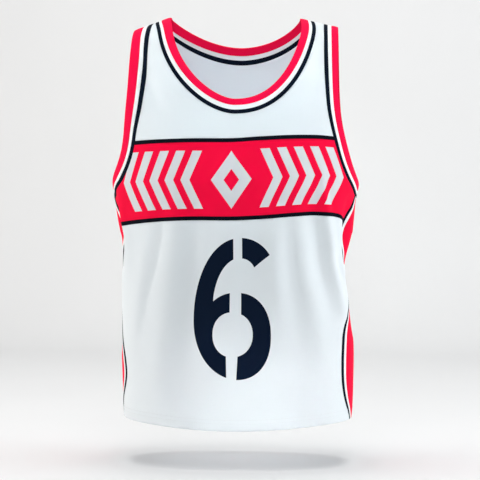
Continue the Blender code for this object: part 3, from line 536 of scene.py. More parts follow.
def inside(points, outline):
    x, y = points[:, 0][:, None], points[:, 1][:, None]
    x0, y0 = outline[:, 0][None], outline[:, 1][None]
    x1, y1 = np.roll(outline[:, 0], -1)[None], np.roll(outline[:, 1], -1)[None]
    with np.errstate(divide="ignore", invalid="ignore"):
        crosses = ((y0 > y) != (y1 > y)) & (x < (x1 - x0) * (y - y0) / (y1 - y0) + x0)
    return crosses.sum(axis=1) % 2 == 1


# ---------------------------------------------------------- finer relief
# Creases finer than the frame's folds. Each runs through three points of the
# cloth, given by the distance round the body and the height.
CREASES = (
    # sheet, s0, z0, s1, z1, s2, z2, height, half-width
    ("front", 0.150, -0.255, 0.158, -0.300, 0.172, -0.346, 0.0022, 0.0050),
    ("front", 0.162, -0.262, 0.170, -0.305, 0.186, -0.345, -0.0014, 0.0060),
    ("front", -0.116, -0.352, -0.127, -0.418, -0.149, -0.490, -0.0006, 0.0050),
    ("front", -0.040, -0.355, -0.046, -0.390, -0.050, -0.430, 0.0009, 0.0100),
    ("front", 0.103, -0.350, 0.119, -0.440, 0.134, -0.545, -0.0005, 0.0050),
    ("front", 0.158, -0.352, 0.177, -0.415, 0.195, -0.480, -0.0006, 0.0060),
    # the front cloth rolls over the side insert below the right armhole
    ("front", 0.196, -0.335, 0.2085, -0.3925, 0.236, -0.447, 0.0062, 0.0105),
    ("front", 0.231, -0.330, 0.2270, -0.3850, 0.256, -0.445, -0.0038, 0.0110),
    ("front", 0.2270, -0.425, 0.2265, -0.4600, 0.230, -0.512, 0.0036, 0.0105),
    ("front", -0.160, -0.030, -0.130, -0.110, -0.095, -0.190, -0.0012, 0.0090),
    ("front", 0.165, -0.040, 0.150, -0.110, 0.120, -0.180, -0.0010, 0.0090),
    ("back", 0.118, -0.360, 0.128, -0.430, 0.140, -0.520, -0.0014, 0.0075),
    ("back", -0.090, -0.340, -0.104, -0.420, -0.112, -0.500, -0.0012, 0.0070),
    ("back", -0.060, -0.200, -0.085, -0.260, -0.120, -0.310, 0.0012, 0.0085),
    ("back", 0.150, -0.270, 0.160, -0.310, 0.176, -0.355, -0.0016, 0.0060),
    ("back", -0.155, -0.265, -0.166, -0.305, -0.182, -0.350, -0.0015, 0.0060),
    ("back", 0.030, -0.560, 0.042, -0.610, 0.046, -0.665, 0.0010, 0.0085),
)


def crease_points(row):
    """Points along a crease's line, as (s, z)."""
    _, s0, z0, s1, z1, s2, z2, _, _ = row
    u = np.linspace(0.0, 1.0, 25)[:, None]
    a, b, c = np.array([s0, z0]), np.array([s1, z1]), np.array([s2, z2])
    return a * (1 - u) * (1 - 2 * u) + 4 * b * u * (1 - u) + c * u * (2 * u - 1)


def crease_height(sheet, q, z):
    total = np.zeros(np.shape(z))
    for row in CREASES:
        where, height, width = row[0], row[7], row[8]
        line = crease_points(row)
        low, high = line.min(axis=0) - 3 * width, line.max(axis=0) + 3 * width
        here = (sheet > 0) if where == "front" else (sheet < 0)
        pick = here & (q > low[0]) & (q < high[0]) & (z > low[1]) & (z < high[1])
        if not pick.any():
            continue
        p = np.stack([q[pick], z[pick]], axis=1)
        best, at = np.full(len(p), 9.0), np.zeros(len(p))
        for k in range(len(line) - 1):
            v = line[k + 1] - line[k]
            u = np.clip(((p - line[k]) @ v) / (v @ v), 0, 1)
            d = np.linalg.norm(p - line[k] - u[:, None] * v, axis=1)
            near = d < best
            best = np.where(near, d, best)
            at = np.where(near, (k + u) / (len(line) - 1), at)
        total[pick] += height * np.sin(math.pi * at) ** 0.7 * np.exp(-(best / width) ** 2)
    return total


RNG = np.random.default_rng(11)
_waves = [(RNG.uniform(-1, 1) * 75, RNG.uniform(-1, 1) * 34, RNG.uniform(0, 6.28), RNG.uniform(0.5, 1.0))
          for _ in range(22)]


def unrest(sheet, s, t):
    """Slow, shallow unevenness that no two places of the cloth share."""
    total = np.zeros(np.shape(t))
    for ks, kt, phase, weight in _waves:
        total = total + weight * np.sin(ks * s + kt * t + phase + 1.7 * np.asarray(sheet))
    return 0.00009 * total


_smooth_folds = fold_height


def fold_height(sheet, s, t):
    over = np.abs(s) > QUARTER
    here = np.where(over, -np.asarray(sheet, float), np.asarray(sheet, float)) * np.where(t < 0, -1.0, 1.0)
    side = np.where(s < 0, -1.0, 1.0)
    q = side * np.where(over, 2 * QUARTER - np.abs(s), np.abs(s))
    z = z_of(q, t)
    return _smooth_folds(sheet, s, t) + crease_height(here, q, z) + unrest(here, q, np.abs(t))


def drape_fine(sheet, s, t):
    """As drape(), with the direction square to the folded cloth."""
    sheet, s, t = np.broadcast_arrays(np.asarray(sheet, float), np.asarray(s, float), np.asarray(t, float))
    d = 0.0006
    pos, out = drape(sheet, s, t)
    ds = drape(sheet, s + d, t)[0] - drape(sheet, s - d, t)[0]
    dt = drape(sheet, s, t + d)[0] - drape(sheet, s, t - d)[0]
    true = -sheet[..., None] * np.cross(ds, dt)
    true /= np.linalg.norm(true, axis=-1, keepdims=True)
    return pos, true


# ------------------------------------------------------------------ meshes
def tree_of(lines, step=0.0005):
    """A tree of points along closed lines."""
    points = []
    for line in lines:
        nxt = np.roll(line, -1, axis=0)
        for a, b in zip(line, nxt):
            n = max(1, int(np.linalg.norm(b - a) / step))
            for k in range(n):
                points.append(a + (b - a) * k / n)
    tree = kdtree.KDTree(len(points))
    for i, p in enumerate(points):
        tree.insert((p[0], p[1], 0.0), i)
    tree.balance()
    return tree


def distances(points, tree):
    return np.array([tree.find((p[0], p[1], 0.0))[2] for p in points])


def fill(outline, marks, step):
    """Triangles inside an outline, with the marks' outlines as edges."""
    outline = np.asarray(outline, float)
    low, high = outline.min(axis=0), outline.max(axis=0)
    rows = np.arange(low[1] + 0.4 * step, high[1], step * 0.866)
    cols = np.arange(low[0], high[0], step)
    grid_s = np.concatenate([cols + (0.5 * step if r % 2 else 0.0) for r in range(len(rows))])
    grid_t = np.repeat(rows, len(cols))
    lattice = np.stack([grid_s, grid_t], axis=1)
    keep = np.concatenate([inside(chunk, outline) for chunk in np.array_split(lattice, 40)])
    lattice = lattice[keep]
    lattice = lattice[distances(lattice, tree_of([outline])) > 0.5 * step]
    if marks:
        lattice = lattice[distances(lattice, tree_of(marks)) > 0.45 * step]
    points, edges = [], []
    for line in [outline] + list(marks):
        n, base = len(line), len(points)
        points.extend(Vector((p[0], p[1])) for p in line)
        edges.extend((base + i, base + (i + 1) % n) for i in range(n))
    points.extend(Vector((p[0], p[1])) for p in lattice)
    verts, _, faces, _, _, _ = delaunay_2d_cdt(points, edges, [], 1, 1e-7)
    return np.array([(v[0], v[1]) for v in verts]), np.array([tuple(f) for f in faces], int)


def new_object(name, verts, faces, uvs, materials, index=None):
    mesh = bpy.data.meshes.new(name)
    mesh.from_pydata([tuple(v) for v in verts], [], [tuple(f) for f in faces])
    mesh.update()
    layer = mesh.uv_layers.new(name="cloth")
    corner = np.empty(len(mesh.loops), int)
    mesh.loops.foreach_get("vertex_index", corner)
    layer.data.foreach_set("uv", np.asarray(uvs, np.float32)[corner].ravel())
    for m in materials:
        mesh.materials.append(m)
    if index is not None:
        mesh.polygons.foreach_set("material_index", np.asarray(index, np.int32))
    mesh.shade_smooth()
    obj = bpy.data.objects.new(name, mesh)
    bpy.context.scene.collection.objects.link(obj)
    return obj


def faces_out(verts, faces, out):
    a, b, c = verts[faces[:, 0]], verts[faces[:, 1]], verts[faces[:, 2]]
    agree = np.einsum("ij,ij->i", np.cross(b - a, c - a), out[faces[:, 0]]).sum()
    return faces if agree > 0 else faces[:, ::-1]


def edge_dip(flat, outline):
    """Cloth sinks a little towards its seams."""
    d = distances(flat, tree_of([outline]))
    return -0.00035 * np.exp(-(d / 0.0022) ** 2)


def panel(name, sheet_of, outline, materials, marks=(), mark_index=(), step=PANEL_STEP, extra=None):
    """A cut panel: its shell, with a wall and two faces."""
    flat, faces = fill(outline, list(marks), step)
    sheet, s = sheet_of(flat)
    pos, out = drape(sheet, s, flat[:, 1])
    lift = edge_dip(flat, outline)
    if extra is not None:
        lift = lift + extra(flat)
    pos = pos + out * lift[:, None]
    faces = faces_out(pos, faces, out)
    centre = flat[faces].mean(axis=1)
    index = np.zeros(len(faces), int)
    for mark, k in zip(marks, mark_index):
        index[inside(centre, mark)] = k
    obj = new_object(name, pos, faces, flat, materials, index)
    wall = obj.modifiers.new("wall", "SOLIDIFY")
    wall.thickness = CLOTH_T
    wall.offset = 0.0
    wall.material_offset = len(materials) // 2
    wall.material_offset_rim = 0
    area = 0.5 * np.abs(np.cross(flat[faces[:, 1]] - flat[faces[:, 0]], flat[faces[:, 2]] - flat[faces[:, 0]])).sum()
    finish_piece(obj, name, area)
    return obj


def finish_piece(obj, node, area):
    """Tie a piece to the frame and hide the frame's own piece; area is not used."""
    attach(obj, "root")
    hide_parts(node)


def profile(width, thick, crown):
    """Section of a rounded strip: distance across and height, all round it."""
    r = thick / 2
    top = np.linspace(width - r, r, 7)[1:-1]
    pts = []
    for a in np.linspace(0, math.pi / 2, 5):
        pts.append((width - r + r * math.cos(a), r * math.sin(a)))
    for x in top:
        pts.append((x, r + crown * math.sin(math.pi * x / width)))
    for a in np.linspace(math.pi / 2, 3 * math.pi / 2, 9):
        pts.append((r + r * math.cos(a), r * math.sin(a)))
    for x in top[::-1]:
        pts.append((x, -r))
    for a in np.linspace(3 * math.pi / 2, 2 * math.pi, 5)[:-1]:
        pts.append((width - r + r * math.cos(a), r * math.sin(a)))
    return np.array(pts)


def swept(name, line_at, width, thick, crown, materials, closed):
    """A rounded strip along a seam line.

    line_at(u) gives the line at the share u of the width, as (sheet, s, t).
    """
    section = profile(width, thick, crown)
    rows, uvs = [], []
    for across, height in section:
        sheet, s, t = line_at(across / width)
        pos, out = drape_fine(sheet, s, t)
        rows.append(pos + out * height)
        mid = pos
        along = np.concatenate([[0.0], np.cumsum(np.linalg.norm(np.diff(mid, axis=0), axis=1))])
        uvs.append(np.stack([np.full(len(along), across), along], axis=1))
    rows = np.array(rows)
    m, n = rows.shape[:2]
    faces = []
    last = n if closed else n - 1
    for j in range(m):
        for k in range(last):
            a, b = j * n + k, j * n + (k + 1) % n
            c, d = ((j + 1) % m) * n + (k + 1) % n, ((j + 1) % m) * n + k
            faces.append((a, b, c, d))
    verts = rows.reshape(-1, 3)
    uvs = np.array(uvs).reshape(-1, 2)
    a, b, d = verts[[f[0] for f in faces]], verts[[f[1] for f in faces]], verts[[f[3] for f in faces]]
    middle = rows.mean(axis=0)
    out = (rows - middle[None]).reshape(-1, 3)[[f[0] for f in faces]]
    if np.einsum("ij,ij->i", np.cross(b - a, d - a), out).sum() < 0:
        faces = [tuple(reversed(f)) for f in faces]
    if not closed:
        for k in (0, n - 1):
            cap = [j * n + k for j in range(m)]
            e1, e2 = verts[cap[1]] - verts[cap[0]], verts[cap[m // 3]] - verts[cap[0]]
            side = verts[cap[0]] - verts[cap[0] + (1 if k == 0 else -1)]
            normal = np.cross(verts[cap[m // 3]] - verts[cap[0]], verts[cap[2 * m // 3]] - verts[cap[0]])
            faces.append(tuple(cap) if normal @ side > 0 else tuple(reversed(cap)))
    obj = new_object(name, verts, faces, uvs, materials)
    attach(obj, "root")
    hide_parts(name)
    return obj


# --------------------------------------------------------------- materials
def add(nodes, kind, **values):
    node = nodes.new(kind)
    for key, value in values.items():
        setattr(node, key, value)
    return node


def cloth_material(name, base, shade, rough, pitch, depth, sheen, specular, ribbed=False, hollow_shade_amount=0.35):
    """Knitted polyester: cells of a fine mesh (or ribs), slow colour variation, and painted shade that darkens the
    hollows of the mesh.
    """
    mat = bpy.data.materials.new(name)
    mat.use_nodes = True
    nodes, links = mat.node_tree.nodes, mat.node_tree.links
    shader = nodes["Principled BSDF"]
    shader.inputs["Roughness"].default_value = rough
    shader.inputs["Metallic"].default_value = 0.0
    shader.inputs["Specular IOR Level"].default_value = specular
    shader.inputs["Sheen Weight"].default_value = sheen
    shader.inputs["Sheen Roughness"].default_value = 0.45
    place = add(nodes, "ShaderNodeUVMap", uv_map="cloth")
    split = add(nodes, "ShaderNodeSeparateXYZ")
    links.new(place.outputs["UV"], split.inputs[0])

    def wave(source, length, shift=0.0):
        turn = add(nodes, "ShaderNodeMath", operation="MULTIPLY_ADD")
        turn.inputs[1].default_value = 2 * math.pi / length
        turn.inputs[2].default_value = shift
        links.new(source, turn.inputs[0])
        out = add(nodes, "ShaderNodeMath", operation="SINE")
        links.new(turn.outputs[0], out.inputs[0])
        return out.outputs[0]

    def math_node(op, a, b):
        node = add(nodes, "ShaderNodeMath", operation=op)
        for i, v in enumerate((a, b)):
            if isinstance(v, (int, float)):
                node.inputs[i].default_value = v
            else:
                links.new(v, node.inputs[i])
        return node.outputs[0]

    if ribbed:
        cells = wave(split.outputs["Y"], pitch)
        fine = wave(split.outputs["X"], pitch * 0.55)
        cells = math_node("ADD", cells, math_node("MULTIPLY", fine, 0.25))
    else:
        a = wave(split.outputs["X"], pitch)
        b = wave(split.outputs["Y"], pitch * 1.2)
        cells = math_node("MULTIPLY", a, b)
        c = wave(split.outputs["Y"], pitch * 0.6, 1.0)
        cells = math_node("ADD", cells, math_node("MULTIPLY", c, 0.25))
    # slow colour variation, and painted shade darkening the hollows of the mesh
    where = add(nodes, "ShaderNodeTexCoord")
    slow = add(nodes, "ShaderNodeTexNoise")
    slow.inputs["Scale"].default_value = 9.0
    slow.inputs["Detail"].default_value = 3.0
    links.new(where.outputs["Object"], slow.inputs["Vector"])
    fibre = add(nodes, "ShaderNodeTexNoise")
    fibre.inputs["Scale"].default_value = 900.0
    fibre.inputs["Detail"].default_value = 2.0
    links.new(where.outputs["Object"], fibre.inputs["Vector"])
    mix = add(nodes, "ShaderNodeMix", data_type="RGBA")
    mix.inputs[6].default_value = (*base, 1.0)
    mix.inputs[7].default_value = (*shade, 1.0)
    # painted shade: the mesh's low cells are mixed towards the darker colour
    painted_hollow_shade = math_node("MULTIPLY", math_node("SUBTRACT", 0.6, cells), hollow_shade_amount * 0.35)
    amount = math_node("ADD", math_node("MULTIPLY", math_node("SUBTRACT", slow.outputs["Fac"], 0.35), 0.55), painted_hollow_shade)
    clamp = add(nodes, "ShaderNodeClamp")
    links.new(amount, clamp.inputs[0])
    links.new(clamp.outputs[0], mix.inputs[0])
    links.new(mix.outputs[2], shader.inputs["Base Color"])
    bump = add(nodes, "ShaderNodeBump")
    bump.inputs["Strength"].default_value = 0.5
    bump.inputs["Distance"].default_value = depth
    height = math_node("ADD", cells, math_node("MULTIPLY", fibre.outputs["Fac"], 0.5))
    links.new(height, bump.inputs["Height"])
    links.new(bump.outputs["Normal"], shader.inputs["Normal"])
    return mat


WHITE = cloth_material("white_mesh", (0.82, 0.87, 0.90), (0.74, 0.79, 0.83), 0.75, 0.0016, 0.00010, 0.08, 0.25)
# painted light: the inner face is the same white cloth, made lighter and bluer to stand in for the light it lacks
# inside the jersey
WHITE_INNER_LIT = cloth_material("white_mesh_inner_painted_light", (0.86, 0.92, 0.975), (0.79, 0.85, 0.92), 0.85, 0.0016, 0.00010, 0.0, 0.10)
RED = cloth_material("red_mesh", (0.98, 0.0030, 0.050), (0.90, 0.0020, 0.040), 0.70, 0.0016, 0.00010, 0.0, 0.05)
RED_RIB = cloth_material("red_rib", (0.98, 0.0045, 0.066), (0.88, 0.0025, 0.048), 0.72, 0.0018, 0.00014, 0.0, 0.05,
                         ribbed=True)
WHITE_STRIPE = cloth_material("white_stripe", (0.93, 0.95, 0.97), (0.86, 0.88, 0.91), 0.75, 0.0014, 0.00010, 0.05,
                              0.20, ribbed=True)
NAVY_STRIPE = cloth_material("navy_stripe", (0.0022, 0.0062, 0.0165), (0.0015, 0.0040, 0.0110), 0.75, 0.0014, 0.00010,
                             0.0, 0.06, ribbed=True)
NAVY_TAPE = cloth_material("navy_tape", (0.0018, 0.0035, 0.0095), (0.0012, 0.0022, 0.0062), 0.72, 0.0012, 0.00010,
                           0.0, 0.06, ribbed=True)
NAVY_PRINT = cloth_material("navy_print", (0.0018, 0.0078, 0.0235), (0.0012, 0.0055, 0.0170), 0.62, 0.0016, 0.00006,
                            0.0, 0.05)
PALE_PRINT = cloth_material("pale_print", (0.72, 0.73, 0.76), (0.60, 0.61, 0.65), 0.65, 0.0016, 0.00006, 0.0, 0.10)


# ------------------------------------------------------------ printed marks
def ellipse(cx, cy, rx, ry, start, end, power=2.0, steps=40):
    """Points along an ellipse (or superellipse), angles in degrees from +x, y down."""
    a = np.radians(np.linspace(start, end, steps))
    c, s = np.cos(a), np.sin(a)
    k = 2.0 / power
    return np.stack([cx + rx * np.sign(c) * np.abs(c) ** k, cy + ry * np.sign(s) * np.abs(s) ** k], axis=1)


def angle_at(cx, rx, x):
    return math.degrees(math.acos(max(-1.0, min(1.0, (x - cx) / rx))))


NUMERAL_X = 0.0025        # middle of the numeral
NUMERAL_Z = -0.5025
NUMERAL_UNIT = 0.001705   # one unit of the numeral's drawing


def numeral_six():
    """A plain stencil 6, drawn with arcs: a spine, a top hook and a bowl."""
    gap_top, gap_low, gap_mid = (2.0, 10.0), (-5.0, 5.0), (-1.5, 8.5)
    # spine: outer edge from the top gap round the left to the bottom gap
    spine = np.vstack([
        ellipse(9, 11, 48, 82, -angle_at(9, 48, gap_top[0]), -180.0),
        ellipse(7, 13, 46, 58, 180.0, angle_at(7, 46, gap_low[0]))[1:],
        ellipse(1, 26, 20, 22.5, angle_at(1, 20, gap_low[0]), 180.0, 2.1),
        ellipse(1, 26, 20, 22.5, -180.0, -angle_at(1, 20, gap_mid[0]), 2.1)[1:],
        ellipse(3, 28, 36, 44, -angle_at(3, 36, gap_mid[0]), -angle_at(3, 36, -18.3), steps=14),
        ellipse(9, 1, 28, 52, -166.0, -angle_at(9, 28, gap_top[0])),
    ])
    hook = np.vstack([
        ellipse(9, -39, 33, 32, -angle_at(9, 33, gap_top[1] + 0.7), -28.0, steps=24),
        ellipse(9, -35, 15, 15.5, -24.0, -angle_at(9, 15, gap_top[1] + 0.7), steps=16),
    ])
    bowl = np.vstack([
        ellipse(5, 27.5, 34.5, 43.5, -84.0, 90.0, 2.25, steps=70),
        ellipse(1, 26, 20.4, 22.3, 76.0, -66.0, 2.1, steps=40),
    ])
    bowl = bowl[~((bowl[:, 0] < gap_low[1] + 0.2) & (bowl[:, 1] > 50) & (bowl[:, 0] < gap_low[1] - 0.2))]
    return spine, hook, bowl


def on_front(points, x0, z0, unit):
    """A drawing's points on the front sheet, as (s, t)."""
    x = x0 + points[:, 0] * unit
    z = z0 - points[:, 1] * unit
    s = s_of(x, z)
    return np.stack([s, t_of(s, z)], axis=1)


def dense(line, step):
    """A closed line with a point at least every step."""
    out = []
    for a, b in zip(line, np.roll(line, -1, axis=0)):
        n = max(1, int(math.ceil(np.linalg.norm(b - a) / step)))
        out.extend(a + (b - a) * k / n for k in range(n))
    out = np.array(out)
    keep = np.linalg.norm(out - np.roll(out, 1, axis=0), axis=1) > 0.00015
    return out[keep]


# The band's motif: a lozenge between rows of leaning bars.
BAR_W = 0.0150
BAR_PITCH = 0.0272
BAR_LEAN = 0.0210
BARS = 5
MOTIF_TOP = 0.105         # share of the band's height above and below the motif
LOZENGE_W = 0.0330
LOZENGE_STROKE = 0.0170


def band_motif():
    marks, index = [], []

    def place(points):
        """(distance from the motif's middle, share down the band) to (s, t)."""
        points = np.asarray(points, float)
        s = 0.0030 + points[:, 0]
        top, low = level_t(s, BAND_TOP_Z - TAPE_W), level_t(s, BAND_BOTTOM_Z + TAPE_W)
        return np.stack([s, top + (low - top) * points[:, 1]], axis=1)

    a, b = MOTIF_TOP, 1 - MOTIF_TOP
    for side in (-1, 1):
        for k in range(BARS):
            x = 0.0470 + k * BAR_PITCH
            shape = [(x, a), (x + BAR_W, a), (x + BAR_W + BAR_LEAN, 0.5), (x + BAR_W, b), (x, b), (x + BAR_LEAN, 0.5)]
            shape = np.array([(side * p, q) for p, q in shape])
            marks.append(dense(place(dense(shape, 0.02)), PANEL_STEP))
            index.append(1)
    w = LOZENGE_W
    outer = np.array([(0, a), (w, 0.5), (0, b), (-w, 0.5)])
    f = 1 - LOZENGE_STROKE * 1.2 / w
    inner = np.array([(0, 0.5 + (a - 0.5) * f), (w * f, 0.5), (0, 0.5 + (b - 0.5) * f), (-w * f, 0.5)])
    marks.append(dense(place(dense(outer, 0.02)), PANEL_STEP))
    index.append(1)
    marks.append(dense(place(dense(inner, 0.02)), PANEL_STEP))
    index.append(0)
    return marks, index


# ------------------------------------------------------------------- cloth
LAP = 0.0007              # the panels run this far in under the strips


def front_sheet(flat):
    return np.ones(len(flat)), flat[:, 0]


def back_sheet(flat):
    return -np.ones(len(flat)), flat[:, 0]


def side_sheet(side):
    def of(flat):
        front = flat[:, 0] <= QUARTER
        return np.where(front, 1.0, -1.0), side * np.where(front, flat[:, 0], 2 * QUARTER - flat[:, 0])
    return of


def tidy(line):
    """Without points closer than a third of a millimetre."""
    keep = [line[0]]
    for p in line[1:]:
        if np.linalg.norm(p - keep[-1]) > 0.0004:
            keep.append(p)
    if np.linalg.norm(keep[0] - keep[-1]) < 0.0004:
        keep.pop()
    return np.array(keep)


def seam_run(s0, s1):
    """Points along a shoulder seam."""
    n = max(2, int(abs(s1 - s0) / PANEL_STEP))
    return [(s0 + (s1 - s0) * k / n, 0.0) for k in range(1, n)]


def front_panels():
    g = -LAP
    right = side_edge(1.0, 1.0, g)
    left = side_edge(-1.0, 1.0, g) * np.array([-1.0, 1.0])
    lines = (BAND_TOP_Z, BAND_TOP_Z - TAPE_W, BAND_BOTTOM_Z + TAPE_W, BAND_BOTTOM_Z)

    def above(z, gap):
        return lambda p: level_t(p[:, 0], z) + gap - p[:, 1]

    def below(z, gap):
        return lambda p: p[:, 1] - level_t(p[:, 0], z) + gap

    neck = neck_line(1.0, "navy", g)
    neck[0, 1] = neck[-1, 1] = 0.0
    lt, rt = cut(left, above(lines[0], LAP)), cut(right, above(lines[0], LAP))
    lt[0, 1] = rt[0, 1] = 0.0
    level = level_line(lt[-1, 0], rt[-1, 0], lines[0], LAP)
    outline = tidy(np.vstack([neck, seam_run(neck[-1, 0], lt[0, 0]), lt, level, rt[::-1],
                              seam_run(rt[0, 0], neck[0, 0])]))
    panel("front_yoke", front_sheet, outline, [WHITE, WHITE_INNER_LIT])

    lt = cut(cut(left, below(lines[1], LAP)), above(lines[2], LAP))
    rt = cut(cut(right, below(lines[1], LAP)), above(lines[2], LAP))
    top = level_line(lt[0, 0], rt[0, 0], lines[1], -LAP)
    low = level_line(lt[-1, 0], rt[-1, 0], lines[2], LAP)
    marks, index = band_motif()
    panel("front_band", front_sheet, tidy(np.vstack([lt, low, rt[::-1], top[::-1]])),
          [RED, PALE_PRINT, WHITE_INNER_LIT, WHITE_INNER_LIT], marks, index)

    lt, rt = cut(left, below(lines[3], LAP)), cut(right, below(lines[3], LAP))
    top = level_line(lt[0, 0], rt[0, 0], lines[3], -LAP)
    s = np.linspace(lt[-1, 0], rt[-1, 0], 150)[1:-1]
    hem = np.stack([s, hem_t(1.0, s)], axis=1)
    marks = [dense(on_front(m, NUMERAL_X, NUMERAL_Z, NUMERAL_UNIT), PANEL_STEP) for m in numeral_six()]
    panel("front_lower", front_sheet, tidy(np.vstack([lt, hem, rt[::-1], top[::-1]])),
          [WHITE, NAVY_PRINT, WHITE_INNER_LIT, WHITE_INNER_LIT], marks, [1, 1, 1], extra=hem_relief(1.0))

    # tapes over the band's two seams
    for name, upper, lower in (("tape_top", lines[0], lines[1]), ("tape_bottom", lines[2], lines[3])):
        mid = 0.5 * (upper + lower)
        lt, rt = cut(left, above(mid, 0.0)), cut(right, above(mid, 0.0))
        s = np.linspace(lt[-1, 0] + 0.0004, rt[-1, 0] - 0.0004, 170)

        def line_at(u, s=s, upper=upper, lower=lower):
            return np.ones(len(s)), s, level_t(s, upper) * (1 - u) + level_t(s, lower) * u
        swept(name, line_at, TAPE_W, 0.0017, 0.0002, [NAVY_TAPE], False)


HEM_TURN = 0.0200         # the hem is turned up this far and sewn twice


def hem_thickness(up):
    return 0.00022 * (1 - np.tanh((up - HEM_TURN) / 0.0012))


def hem_relief(sheet):
    """The turned hem: a little thicker, with two sewn grooves at its top."""
    def of(flat):
        up = hem_t(sheet, flat[:, 0]) - flat[:, 1]
        thick = hem_thickness(up)
        groove = -0.00040 * (np.exp(-((up - HEM_TURN + 0.0012) / 0.0009) ** 2)
                             + np.exp(-((up - HEM_TURN + 0.0074) / 0.0009) ** 2))
        pucker = 0.00022 * np.sin(flat[:, 0] * 2 * math.pi / 0.0085 + 2.0 * np.sin(flat[:, 0] * 31)) \
            * np.exp(-((up - HEM_TURN) / 0.006) ** 2)
        return thick + groove + pucker
    return of


def back_panels():
    g = -LAP
    right = side_edge(1.0, -1.0, g)
    left = side_edge(-1.0, -1.0, g) * np.array([-1.0, 1.0])
    neck = neck_line(-1.0, "navy", g)
    neck[0, 1] = neck[-1, 1] = 0.0
    left[0, 1] = right[0, 1] = 0.0
    s = np.linspace(left[-1, 0], right[-1, 0], 130)[1:-1]
    hem = np.stack([s, hem_t(-1.0, s)], axis=1)
    outline = tidy(np.vstack([neck, seam_run(neck[-1, 0], left[0, 0]), left, hem, right[::-1],
                              seam_run(right[0, 0], neck[0, 0])]))
    panel("back_panel", back_sheet, outline, [WHITE, WHITE_INNER_LIT], step=0.0034,
          extra=hem_relief(-1.0))


def neck_at(sheet, distance):
    """The neckline moved out by a distance, which may differ along it."""
    steps = NECK_FRONT_STEPS if sheet > 0 else NECK_BACK_STEPS
    line, normal = neck_branch(sheet, steps)
    s, t = march(sheet, line[:, 0], line[:, 1], normal[:, 0], normal[:, 1], distance)
    return s, t


def neck_strip(before, piece, lap_in, lap_out):
    def line_at(u):
        parts = []
        for sheet in (1.0, -1.0):
            steps = NECK_FRONT_STEPS if sheet > 0 else NECK_BACK_STEPS
            near = neck_width(before, steps, sheet) - lap_in
            far = neck_width(piece, steps, sheet) + lap_out
            parts.append(neck_at(sheet, near + (far - near) * u))
        (fs, ft), (bs, bt) = parts
        sheet = np.concatenate([np.ones(len(fs)), -np.ones(len(bs) - 2)])
        return sheet, np.concatenate([fs, bs[::-1][1:-1]]), np.concatenate([ft, bt[::-1][1:-1]])
    return line_at


def arm_strip(side, before, piece, lap_in, lap_out):
    def line_at(u):
        parts = []
        for sheet in (1.0, -1.0):
            line, normal = arm_branch(side, sheet, ARM_STEPS)
            near = arm_width(side, line, before) - lap_in
            far = arm_width(side, line, piece) + lap_out
            d = near + (far - near) * u
            s, t = march(sheet, side * line[:, 0], line[:, 1], side * normal[:, 0], normal[:, 1], d)
            parts.append((s, t))
        (fs, ft), (bs, bt) = parts
        sheet = np.concatenate([np.ones(len(fs)), -np.ones(len(bs) - 2)])
        return sheet, np.concatenate([fs, bs[::-1][1:-1]]), np.concatenate([ft, bt[::-1][1:-1]])
    return line_at


def rings():
    lap = 0.00015
    widths = {row[0]: sum(row[1:]) / 4 for row in NECK_TRIM}
    swept("neck_rib", neck_strip("none", "rib", 0.0, lap), widths["rib"], 0.0026, 0.0004, [RED_RIB], True)
    swept("neck_stripe_white", neck_strip("rib", "white", lap, lap), widths["white"], 0.0017, 0.0002,
          [WHITE_STRIPE], True)
    swept("neck_stripe_navy", neck_strip("white", "navy", lap, lap), widths["navy"], 0.0018, 0.0002,
          [NAVY_STRIPE], True)
    for side, tag in ((-1.0, "_l"), (1.0, "_r")):
        first = 1 if side < 0 else 4
        w = {name: sum(row[first + k] for row in ARM_TRIM) / len(ARM_TRIM)
             for k, name in enumerate(("rib", "white", "navy"))}
        swept("armhole_rib" + tag, arm_strip(side, "edge", "rib", 0.0, lap), w["rib"], 0.0026, 0.0004,
              [RED_RIB], True)
        swept("armhole_stripe_white" + tag, arm_strip(side, "rib", "white", lap, lap), w["white"], 0.0017, 0.0002,
              [WHITE_STRIPE], True)
        swept("armhole_stripe_navy" + tag, arm_strip(side, "white", "navy", lap, lap), w["navy"], 0.0018, 0.0002,
              [NAVY_STRIPE], True)


